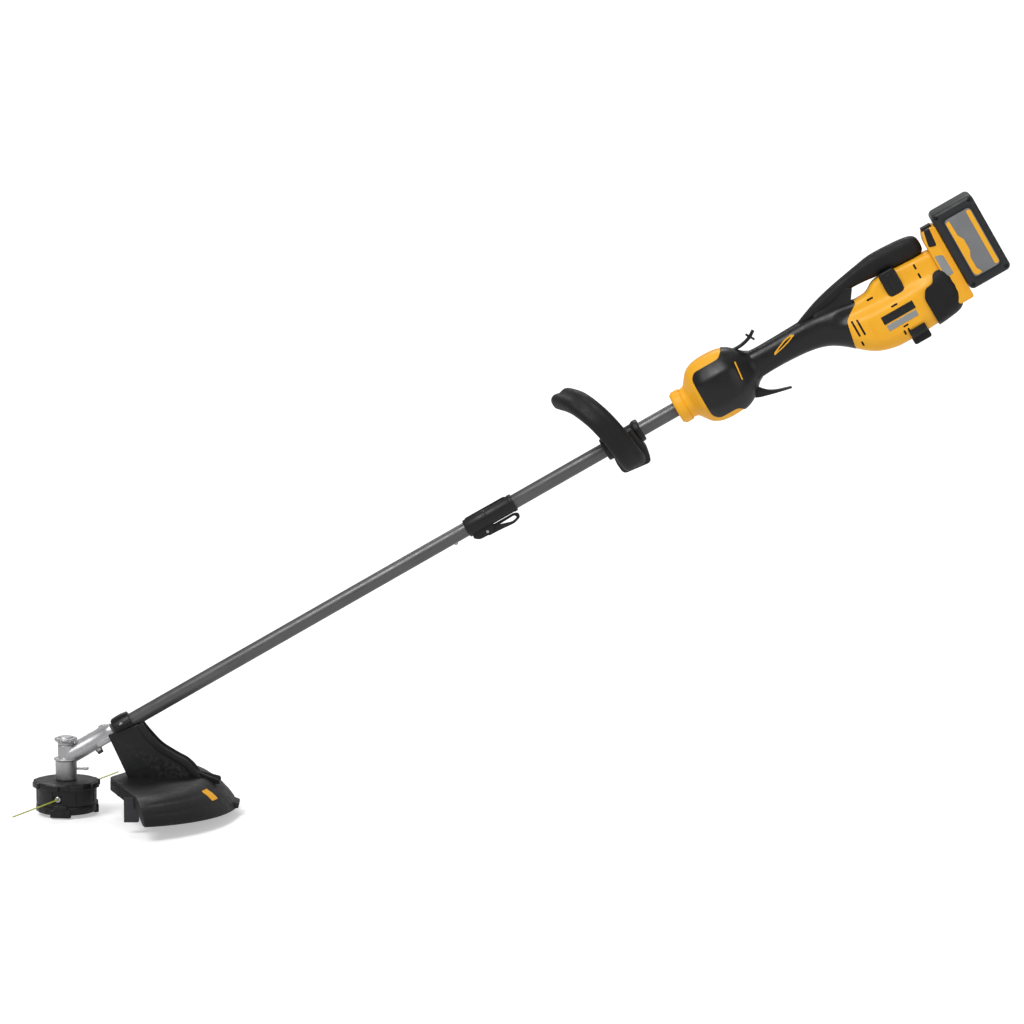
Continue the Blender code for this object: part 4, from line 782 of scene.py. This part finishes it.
def build_levers():
    outline = [
        (1344.5, -35, 3), (1345, -50, 3), (1354, -54, 3), (1380, -61, 20), (1409, -67.5, 2),
        (1410, -64.5, 2), (1384, -56.5, 16), (1370, -49, 10), (1359, -36, 3)]
    piece(slab("trigger_skin", outline, -6.5, 6.5, 1.3, 2.0), "trigger", "black", "trigger")
    path = curve_through([(1342, 0, 42), (1356, 0, 40), (1372, 0, 40.5), (1388, 0, 45), (1400, 0, 52.5)], 8)
    arm = swept("lock_off_arm", path, superellipse(3.0, 6.0, 2.6, 24), broad=Vector((0.0, 0.0, 1.0)))
    barb = slab("lock_off_barb", [(1384, 52), (1387, 53.5), (1396, 38), (1393, 37)], -6.5, 6.5, 0.8, 1.5)
    piece(merged("lock_off_skin", arm, barb), "lock_off_lever", "black", "lock_off_lever")


# Battery and its receiver


def build_receiver():
    outline = [
        (RECEIVER_START, -82.0, 8.0), (RECEIVER_START, 42.0, 6.0), (1733, 57, 5), (RECEIVER_END, 57.0, 3.0),
        (RECEIVER_END, -82.0, 5.0)]
    body = slab("receiver_block", outline, -36.5, 36.5, 4.0, 4.0, segments=4)
    channel = block("receiver_channel", (1748.0, -50.0, -66.0), (1753.0, 50.0, 60.0), 0.0)
    shallow = block("channel_keep", (1740.0, -35.0, -90.0), (1760.0, 35.0, 80.0), 0.0)
    boolean(channel, shallow)
    boolean(body, channel)
    rail = block("receiver_rail", (1752.0, -27.0, -58.0), (1767.5, 27.0, 42.0), 1.0)
    piece(merged("battery_receiver_skin", body, rail), ROOT, "yellow", "battery_receiver")
    band = slab(
        "receiver_band", [(1730, 30, 4), (1736, 58.5, 4), (1747, 58.5, 3), (1744, 26, 4)], -37.4, 37.4, 1.2,
        3.0)
    boolean(band, block("band_latch_room", (1732.0, -13.6, 40.0), (1754.0, 13.6, 80.0), 0.0))
    piece(band, ROOT, "black")
    for side, word in SIDES:
        y0, y1 = sorted((side * 36.0, side * 37.2))
        plate = slab(
            f"receiver_plate_{word}", [(1731, -29, 3), (1731, 12, 3), (1745, 8, 5), (1746, -29, 3)], y0, y1,
            0.4, 3.0)
        piece(plate, ROOT, "label")
    latch = block("battery_latch_skin", (1733.2, -12.8, 50.2), (1752.8, 12.8, 61.8), 1.6)
    piece(latch, "battery_latch", "black", "battery_latch")


def build_battery():
    start, end, half = BATTERY_START, BATTERY_END, BATTERY_HALF
    low, high = BATTERY_LOW, BATTERY_HIGH
    body = block("battery_shell", (start, -half, low), (end, half, high), 9.0, segments=5)
    room = block("rail_room", (start - 5.0, -27.5, low - 5.0), (start + 11.5, 27.5, 42.5), 0.0)
    boolean(body, room)
    face = [(1770, -57, 8), (1770, 61, 8), (1828, 61, 10), (1828, -57, 10)]
    details = []
    for side, word in SIDES:
        deep, out = sorted((side * (half - 1.6), side * 70.0))
        boolean(body, slab("face_recess", face, deep, out, 0.0, 6.0))
        y0, y1 = sorted((side * (half - 3.0), side * (half - 0.3)))
        panel_outline = [(1774, -53, 6), (1774, 57, 6), (1824.5, 57, 8), (1824.5, -53, 8)]
        panel = slab(f"battery_panel_{word}", panel_outline, y0, y1, 0.7, 6.0)
        piece(panel, "battery", "panel")
        y0, y1 = sorted((side * (half - 2.0), side * half))
        jogged = [
            (1775, -46, 4), (1775, 52, 4), (1782, 54, 3), (1783, 24, 2), (1789, 14, 2), (1789, -8, 2),
            (1784, -18, 2), (1784, -40, 2), (1790, -50, 3), (1780, -52, 4)]
        straight = [(1815, -50, 3), (1815, 54, 3), (1823, 54, 4), (1823, -50, 4)]
        for i, outline in enumerate((jogged, straight)):
            piece(slab(f"battery_stripe_{word}_{i}", outline, y0, y1, 0.4, 1.2), "battery", "yellow")
        corners = [(s, t) for t in (low + 8.0, high - 8.0) for s in (start + 8.0, end - 8.0)]
        for i, (s, t) in enumerate(corners):
            place = at(s, 0.0, t, Matrix.Rotation(math.radians(-90.0), 4, "X"))
            y0, y1 = sorted((side * (half - 8.0), side * (half + 2.0)))
            boolean(body, rod("screw_hole", 3.2, y0, y1, place, edge=0.0, steps=24))
            y0, y1 = sorted((side * (half - 8.4), side * (half - 4.0)))
            name = f"battery_screw_{word}_{i}"
            details.append(rod(name, 2.6, y0, y1, place, edge=0.5, steps=20))
    piece(merged("battery_screws", *details), "battery", "blued")
    ribs = []
    for i in range(9):
        t = low + 22.0 + i * 13.0
        ribs.append(block(f"rib_{i}", (end - 9.0, -half + 0.2, t), (end - 0.2, half - 0.2, t + 4.5), 1.2))
        ribs.append(block(f"side_rib_{i}", (end - 7.0, -half, t), (end - 1.5, half, t + 4.5), 1.0))
    for i, s in enumerate((start + 22.0, start + 48.0)):
        ribs.append(block(f"bump_{i}", (s, -30.0, high - 3.0), (s + 14.0, 30.0, high - 0.1), 1.4))
    piece(
        merged("battery_shell_all", body, *ribs), "battery", "grey", "battery_case", "battery_cover",
        "battery_cells")


# Gear case and guard


def build_gear_case():
    body = turned(
        "case_body",
        [
            (13.5, 121), (14.3, 120), (14, 99.5), (16, 98.3), (20.5, 98.2), (21.2, 96.5), (20.6, 94.8),
            (18.6, 93.6), (18.4, 63), (17.8, 60.6), (12.6, 60.6), (12.6, 121)],
        space=WORLD, radius=0.7)
    arm = turned(
        "case_arm",
        [
            (13.6, 96), (14.9, 95), (14.9, 84), (14.4, 83), (14.4, 50), (14.9, 30), (14.6, 8), (12.6, 6),
            (12.6, 96)],
        ALONG, radius=0.5)
    boolean(arm, rod("case_room", 13.4, 50.0, 140.0, space=WORLD, edge=0.0, steps=48))
    boolean(body, rod("arm_room", 12.5, 2.0, 60.0, ALONG, edge=0.0, steps=48))
    ridge = slab(
        "case_ridge", [(22, 12), (28, 16.8, 4), (72, 16.8, 3), (76, 18.2, 3), (86, 18.2, 3), (94, 13)],
        -4.2, 4.2, 1.4, 3.0)
    boss = turned(
        "case_boss", [(0, -12), (6.2, -12), (6, -18.3), (0, -18.3)], at(57.0, 0.0, 0.0), radius=0.8,
        steps=32)
    flats = [
        block(f"case_flat_{i}", (60.0, y, -11.0), (92.0, y + 3.0, -3.0), 1.0)
        for i, y in enumerate((-14.8, 11.8))]
    piece(merged("gear_case_skin", body, arm, ridge, boss, *flats), "attachment", "cast", "gear_case")
    cap = turned(
        "cap_disc",
        [
            (0, 135.8), (12, 135.8), (13, 133.6), (18.5, 133.6), (20, 132), (20, 130), (18, 127.6),
            (14.6, 126), (14, 121.4), (0, 121.4)],
        space=WORLD, radius=0.5)
    notches = []
    for i in range(8):
        spin = about_z(math.tau * (i + 0.5) / 8)
        notches.append(
            rod(f"notch_{i}", 3.0, 124.0, 140.0, spin @ at(20.6, 0.0, 0.0), WORLD, edge=0.0, steps=20))
    boolean(cap, merged("notches", *notches))
    piece(cap, "attachment", "cast", "gear_case_cap")
    bolt = turned(
        "bolt_head", [(0, -18.7), (5.2, -18.7), (5.2, -22.8), (3.6, -23.2), (2.8, -20.6), (0, -20.6)],
        at(57.0, 0.0, 0.0), steps=24, radius=0.4)
    piece(bolt, "attachment", "blued", "gear_case_bolt")
    screw = turned(
        "arm_screw_head",
        [(0, 18.6), (1.6, 18.6), (2.2, 20), (3.6, 19.8), (4.2, 18.6), (4.2, 16.9), (0, 16.9)],
        at(80.0, 0.0, 0.0), steps=32, radius=0.3)
    piece(screw, "attachment", "steel", "arm_screw")
    bar = merged(
        "lock_bar", block("lock_arm", (9.6, -3.0, 77.3), (34.0, 3.0, 80.7), 0.8, WORLD),
        block("lock_tip", (30.0, -4.4, 76.8), (38.9, 4.4, 81.2), 1.4, WORLD))
    piece(bar, "spindle_lock", "cast", "spindle_lock")


GUARD_RADIUS, GUARD_TOP, GUARD_FOOT, GUARD_ROLL = 296.0, 66.0, 13.0, 66.0
NEAR, FAR = math.radians(-59.0), math.radians(47.5)
NOSE = Vector((76.0, -8.0))
GUARD_RIDGES, RIDGE_HEIGHT = ((262.0, 3.0), (281.0, 2.0)), 1.1


def guard_foot(angle):
    """The skirt's lower edge, which climbs towards its two front corners."""
    return GUARD_FOOT + 14.0 * abs(angle / NEAR)


def guard_height(radius, angle):
    """Flat, then rolling down into the skirt, with long ridges that follow the rim."""
    past = max(0.0, radius - (GUARD_RADIUS - GUARD_ROLL)) / GUARD_ROLL
    foot = guard_foot(angle)
    height = foot + (GUARD_TOP - foot) * max(0.0, math.cos(past * math.pi / 2)) ** 0.8
    fade = min(1.0, max(0.0, (math.cos(angle) - 0.45) * 5.0))
    for place, width in GUARD_RIDGES:
        height -= RIDGE_HEIGHT * fade * math.exp(-(((radius - place) / width) ** 2))
    return height


def guard_front(angle):
    corner_angle = NEAR if math.tan(angle) < NOSE.y / NOSE.x else FAR
    corner = Vector((math.cos(corner_angle), math.sin(corner_angle))) * GUARD_RADIUS
    edge = corner - NOSE
    ray = Vector((math.cos(angle), math.sin(angle)))
    reach = (NOSE.x * edge.y - NOSE.y * edge.x) / (ray.x * edge.y - ray.y * edge.x)
    return min(reach, GUARD_RADIUS - 5.0)


def guard_columns():
    rings = []
    for i in range(121):
        angle = NEAR + (FAR - NEAR) * i / 120
        front = guard_front(angle) + 1.5 * math.exp(-(((angle + 0.105) / 0.06) ** 2))
        ray = Vector((math.cos(angle), math.sin(angle), 0.0))
        top = guard_height(front, angle)
        foot = max(guard_foot(angle), top - 22.0)
        lip = ((-1.0, foot), (-1.0, (foot + top) / 2), (-0.6, top - 1.5), (0.6, top - 0.2))
        ring = [ray * (front + ahead) + Vector((0.0, 0.0, height)) for ahead, height in lip]
        for k in range(48):
            radius = front + 2.0 + (GUARD_RADIUS - front - 2.0) * (k / 47) ** 0.8
            ring.append(ray * radius + Vector((0.0, 0.0, guard_height(radius, angle))))
        rings.append(ring)
    return rings


FLANGE = [
    (126, 157), (134, 161, 3), (142, 150, 6), (166, 122.5, 12), (196, 104, 10), (210, 97, 6), (222, 86, 5),
    (236, 66, 3), (224, 62), (204, 88, 8), (190, 96, 10), (159, 114, 12), (133, 144, 5)
]


def build_guard():
    skirt = skin("guard_skirt", guard_columns(), WORLD, caps=False, closed=False)
    first = skirt.data.polygons[0]
    if first.normal.z < 0 and first.center.z > 0.05:
        skirt.data.flip_normals()
    modified(skirt, "SOLIDIFY", 40.0, thickness=0.003, offset=-1.0)
    neck = slab(
        "guard_neck",
        [
            (74, 141, 3), (109, 64, 3), (228, 64, 3), (218, 84, 8), (207, 95, 8), (194, 101, 10),
            (163, 120, 14), (138, 149, 8), (131, 161, 3)],
        -17.0, 17.0, 2.2, 3.0, WORLD)
    boolean(neck, rod("neck_room", TUBE + 0.4, 40.0, 260.0, ALONG, edge=0.0, steps=64))
    boolean(neck, rod("neck_arm_room", 15.2, 0.0, 96.5, ALONG, edge=0.0, steps=64))
    flange = [
        slab(f"guard_flange_{i}", FLANGE, y, y + 4.0, 1.4, 3.0, WORLD)
        for i, y in enumerate((-20.5, 16.5))]
    for obj in (neck, *flange):
        boolean(obj, block("room_above", (0.0, -60.0, 0.0), (300.0, 60.0, 200.0), 0.0))
    braces = []
    for i, (angle, reach) in enumerate(((-17.0, 62.0), (17.0, 62.0))):
        turn = at(208.0, 0.0, 0.0, about_z(math.radians(angle)))
        braces.append(
            slab(
                f"brace_{i}", [(-10, 62), (-8, 84, 6), (6, 80, 8), (reach, 62.5, 8.0), (reach, 55.0)], -2.2,
                2.2, 0.9, 2.0, WORLD @ turn))
    tab = slab(
        "rear_tab", [(284, 27), (300.5, 21, 3), (299, 13.4, 2), (284, 13.4)], -24.0, 24.0, 1.6, 2.0, WORLD)
    inner_rib = slab(
        "nose_rib", [(92, 60), (92, 42, 2), (108, 42, 2), (108, 60)], -62.0, -58.0, 0.8, 1.0, WORLD)
    piece(
        merged("guard_skin", skirt, neck, *flange, *braces, tab, inner_rib), "attachment", "guard", "guard")
    build_guard_fittings()


def build_guard_fittings():
    clamp = turned("clamp_strap", [(16.2, 132), (16.2, 99), (13, 99), (13, 132)], ALONG, radius=0.8)
    ears = [
        block(f"clamp_ear_{i}", (99.5, y, 0.4), (131.5, y + 9.0, 5.4), 1.2)
        for i, y in enumerate((-23.0, 14.0))]
    crown = slab(
        "clamp_crown", [(99, 13), (100, 18.6, 3), (117, 19.4, 4), (131.5, 17.6, 3), (132, 13)], -9.0, 9.0,
        1.6, 2.0)
    piece(merged("guard_clamp_skin", clamp, crown, *ears), "attachment", "black", "guard_clamp")
    for side, y in (("near", -18.5), ("far", 18.5)):
        screw = turned(
            f"guard_screw_{side}_head", [(0, 6.8), (1.5, 6.8), (1.9, 8.4), (4, 8), (4.6, 5.8), (0, 5.8)],
            at(115.5, y, 0.0), steps=28, radius=0.2)
        piece(screw, "attachment", "steel", f"guard_screw_{side}")
    low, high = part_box("line_cutter")
    middle = (low + high) * 500.0
    outline = [
        (middle.x - 13.0, 19.0, 1.0), (middle.x - 13.0, 62.0), (middle.x + 13.0, 62.0),
        (middle.x + 13.0, 19.0, 4.0)]
    blade = slab("line_cutter_blade", outline, middle.y - 0.9, middle.y + 0.9, 0.4, 1.0, WORLD)
    piece(blade, "attachment", "blued", "line_cutter")
    radius, angle = 268.0, math.radians(-19.0)
    rings = []
    for k in range(9):
        a = angle + math.radians(5.2) * (k / 8 - 0.5)
        row = []
        for j in range(9):
            r = radius + 20.0 * (j / 8 - 0.5)
            row.append(Vector((r * math.cos(a), r * math.sin(a), guard_height(r, a) + 0.5)))
        rings.append(row)
    sticker = skin("guard_sticker", rings, WORLD, caps=False, closed=False)
    modified(sticker, "SOLIDIFY", 35.0, thickness=0.0006, offset=0.0)
    piece(sticker, "attachment", "yellow")


# Cutting head


def build_head():
    drum = turned(
        "drum",
        [
            (20, 60), (51, 60), (54, 59), (55.2, 57), (55.2, 49.4), (54.4, 48.2), (52.6, 47.8),
            (52.3, 20.4), (49.8, 20.4), (49.8, 57), (20, 57)],
        space=WORLD, steps=120)
    hub = turned("drum_hub", [(5.4, 60), (21, 60), (21, 57), (9, 56), (9, 52), (5.4, 52)], space=WORLD)
    lobes, grooves = [], []
    for i in range(8):
        spin = about_z(math.tau * (i + 0.5) / 8)
        lobes.append(block(f"lobe_{i}", (49.0, -13.0, 48.4), (57.9, 13.0, 58.4), 1.8, WORLD @ spin))
        grooves.append(block(f"groove_{i}", (51.6, -1.0, 24.0), (60.0, 1.0, 46.0), 0.0, WORLD @ spin))
    holes = []
    for node in ("eyelet_near", "eyelet_far"):
        low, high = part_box(node)
        middle = (low + high) / 2
        angle = math.atan2(middle.y, middle.x)
        turn = about_z(angle)
        holes.append(block(f"{node}_room", (46.0, -8.0, 27.0), (62.0, 8.0, 40.0), 1.0, WORLD @ turn))
        build_eyelet(node, angle)
    boolean(drum, merged("grooves", *grooves))
    for hole in holes:
        boolean(drum, hole)
    piece(merged("head_housing_skin", drum, hub, *lobes), "cutting_head", "black", "head_housing")
    build_head_cover()
    knob = turned(
        "knob", [(0, 13.4), (16.8, 13.4), (16.8, 4), (15.6, 1.2), (13.6, 0.05), (3, 0.05), (0, 0.05)],
        space=WORLD, radius=0.5)
    piece(knob, "spool", "black", "bump_knob")


def build_eyelet(node, angle):
    side = node.split("_")[1]
    turn = about_z(angle) @ at(0.0, 0.0, LINE_HEIGHT, ALONG)
    eyelet = turned(
        node + "_bush",
        [(1.6, 54.4), (3, 54.8), (5.2, 53.6), (5.2, 52.4), (4.2, 51.8), (4.2, 47), (1.6, 47)], turn, WORLD,
        steps=40, radius=0.4)
    piece(eyelet, "cutting_head", "steel", node)
    pocket = about_z(angle)
    wall = block(node + "_pocket", (47.4, -8.4, 26.6), (49.6, 8.4, 40.4), 0.5, WORLD @ pocket)
    boolean(wall, rod("pocket_hole", 4.3, 40.0, 60.0, turn, WORLD, edge=0.0))
    piece(wall, "cutting_head", "black")
    line = frame["nodes"][f"trim_line_{side}"]
    reach = [(vertex.co.to_2d().length, vertex.co) for vertex in line.data.vertices]
    far = max(length for length, _ in reach)
    tip = [co for length, co in reach if length > far - 0.002]
    end = sum(tip, Vector()) / len(tip)
    hole = Vector((math.cos(angle), math.sin(angle), 0.0))
    level = Vector((0.0, 0.0, LINE_HEIGHT))
    start = hole * 46.5 + level
    bend = hole * 57.0 + level
    path = curve_through([start, hole * 52.0 + level, bend, bend.lerp(end * 1000.0, 0.1), end * 1000.0], 6)
    strand = swept(
        f"trim_line_{side}_strand", path, superellipse(1.2, 1.2, 2.0, 16), WORLD, Vector((0.0, 0.0, 1.0)))
    piece(strand, "cutting_head", "line", f"trim_line_{side}")


def build_head_cover():
    ring = turned(
        "cover_ring",
        [
            (49.8, 19.6), (52.3, 19.6), (52.3, 9), (51, 6.2), (48, 5), (17.6, 5), (17.6, 7.6), (46, 8),
            (49.8, 11)],
        space=WORLD, steps=120)
    tabs = []
    for i in range(3):
        spin = about_z(math.radians(TAB_ANGLE + 120.0 * i))
        tabs.append(block(f"tab_{i}", (44.0, -18.0, 1.2), (53.4, 18.0, 16.0), 2.0, WORLD @ spin))
        tabs.append(block(f"tab_step_{i}", (45.0, -12.0, 14.0), (54.0, 12.0, 23.0), 1.6, WORLD @ spin))
    for i in range(12):
        spin = about_z(math.radians(TAB_ANGLE + 30.0 + 120.0 * (i // 4) + 20.0 * (i % 4)))
        tabs.append(block(f"cover_rib_{i}", (49.0, -1.1, 6.6), (53.0, 1.1, 18.6), 0.8, WORLD @ spin))
    piece(merged("head_cover_skin", ring, *tabs), "cutting_head", "black", "head_cover")


# Frame nodes that stay, inside the object

KEPT = {
    "steel": (
        "output_shaft", "bevel_gear", "bevel_pinion", "output_bearing", "pinion_bearing",
        "lower_drive_shaft", "upper_drive_shaft", "thrust_washer", "bump_spring", "rotor"),
    "cast": ("motor_mount",), "winding": ("stator",), "line": ("wound_line",), "yellow": ("spool",),
    "black": ("shaft_bush",), "board": ("control_board",)
}


def dress_kept_nodes():
    for look, nodes in KEPT.items():
        for node in nodes:
            obj = frame["nodes"][node]
            obj.data.materials.clear()
            obj.data.materials.append(FINISHES[look])


# Stage, light and camera


def pale_ground():
    """White where the lamps reach it and greyer in the object's shadow."""
    n = Nodes("floor")
    seen = n.new("LightPath").outputs["Is Camera Ray"]
    surface = {"Base Color": (0.8, 0.8, 0.8, 1.0), "Roughness": 0.9, "Specular IOR Level": 0.0}
    glow = {
        "Emission Color": (1.0, 1.0, 1.0, 1.0),
        "Emission Strength": n.ranged(seen, 0.0, FLOOR_GLOW, 0.0, 1.0)}
    n.fill(n.shader, {**surface, **glow})
    return n.material


def build_stage():
    bm = bmesh.new()
    bmesh.ops.create_grid(bm, x_segments=1, y_segments=1, size=60000.0)
    floor = made("floor", bm, WORLD)
    floor.location.z = -0.001
    floor.data.materials.append(pale_ground())
    world = bpy.data.worlds.new("studio")
    bpy.context.scene.world = world
    world.use_nodes = True
    tree = world.node_tree
    sky = tree.nodes["Background"]
    sky.inputs["Color"].default_value = (1.0, 1.0, 1.0, 1.0)
    path = tree.nodes.new("ShaderNodeLightPath")
    level = tree.nodes.new("ShaderNodeMapRange")
    level.inputs["To Min"].default_value = SKY_LEVEL
    level.inputs["To Max"].default_value = 1.0
    tree.links.new(path.outputs["Is Camera Ray"], level.inputs["Value"])
    tree.links.new(level.outputs["Result"], sky.inputs["Strength"])


def add_sun(name, direction, power, spread):
    """A soft, even light that shines along a direction."""
    data = bpy.data.lights.new(name, "SUN")
    data.energy = power
    data.angle = math.radians(spread)
    lamp = in_scene(bpy.data.objects.new(name, data))
    lamp.rotation_euler = Vector(direction).to_track_quat("-Z", "Y").to_euler()


def build_lights_and_camera():
    add_sun("key", (0.45, 0.55, -0.9), 1.75, 30.0)
    add_sun("fill", (-0.7, 0.8, -0.35), 0.35, 40.0)
    add_sun("rim", (0.1, -0.7, -0.8), 0.8, 30.0)
    out = Vector((0.0, -math.cos(CAMERA_CLIMB), math.sin(CAMERA_CLIMB)))
    data = bpy.data.cameras.new("camera")
    data.lens, data.sensor_width = 200.0, 36.0
    camera = in_scene(bpy.data.objects.new("camera", data))
    camera.location = CAMERA_TARGET + out * CAMERA_DISTANCE
    camera.rotation_euler = (CAMERA_TARGET - camera.location).to_track_quat("-Z", "Y").to_euler()
    bpy.context.scene.camera = camera
    bpy.context.scene.view_settings.view_transform = "Standard"


build_lights_and_camera()
build_stage()
build_tubes()
build_coupler()
build_front_handle()
build_motor_housing()
build_neck_and_housing()
build_loop_grip()
build_paddle()
build_levers()
build_receiver()
build_battery()
build_gear_case()
build_guard()
build_head()
dress_kept_nodes()
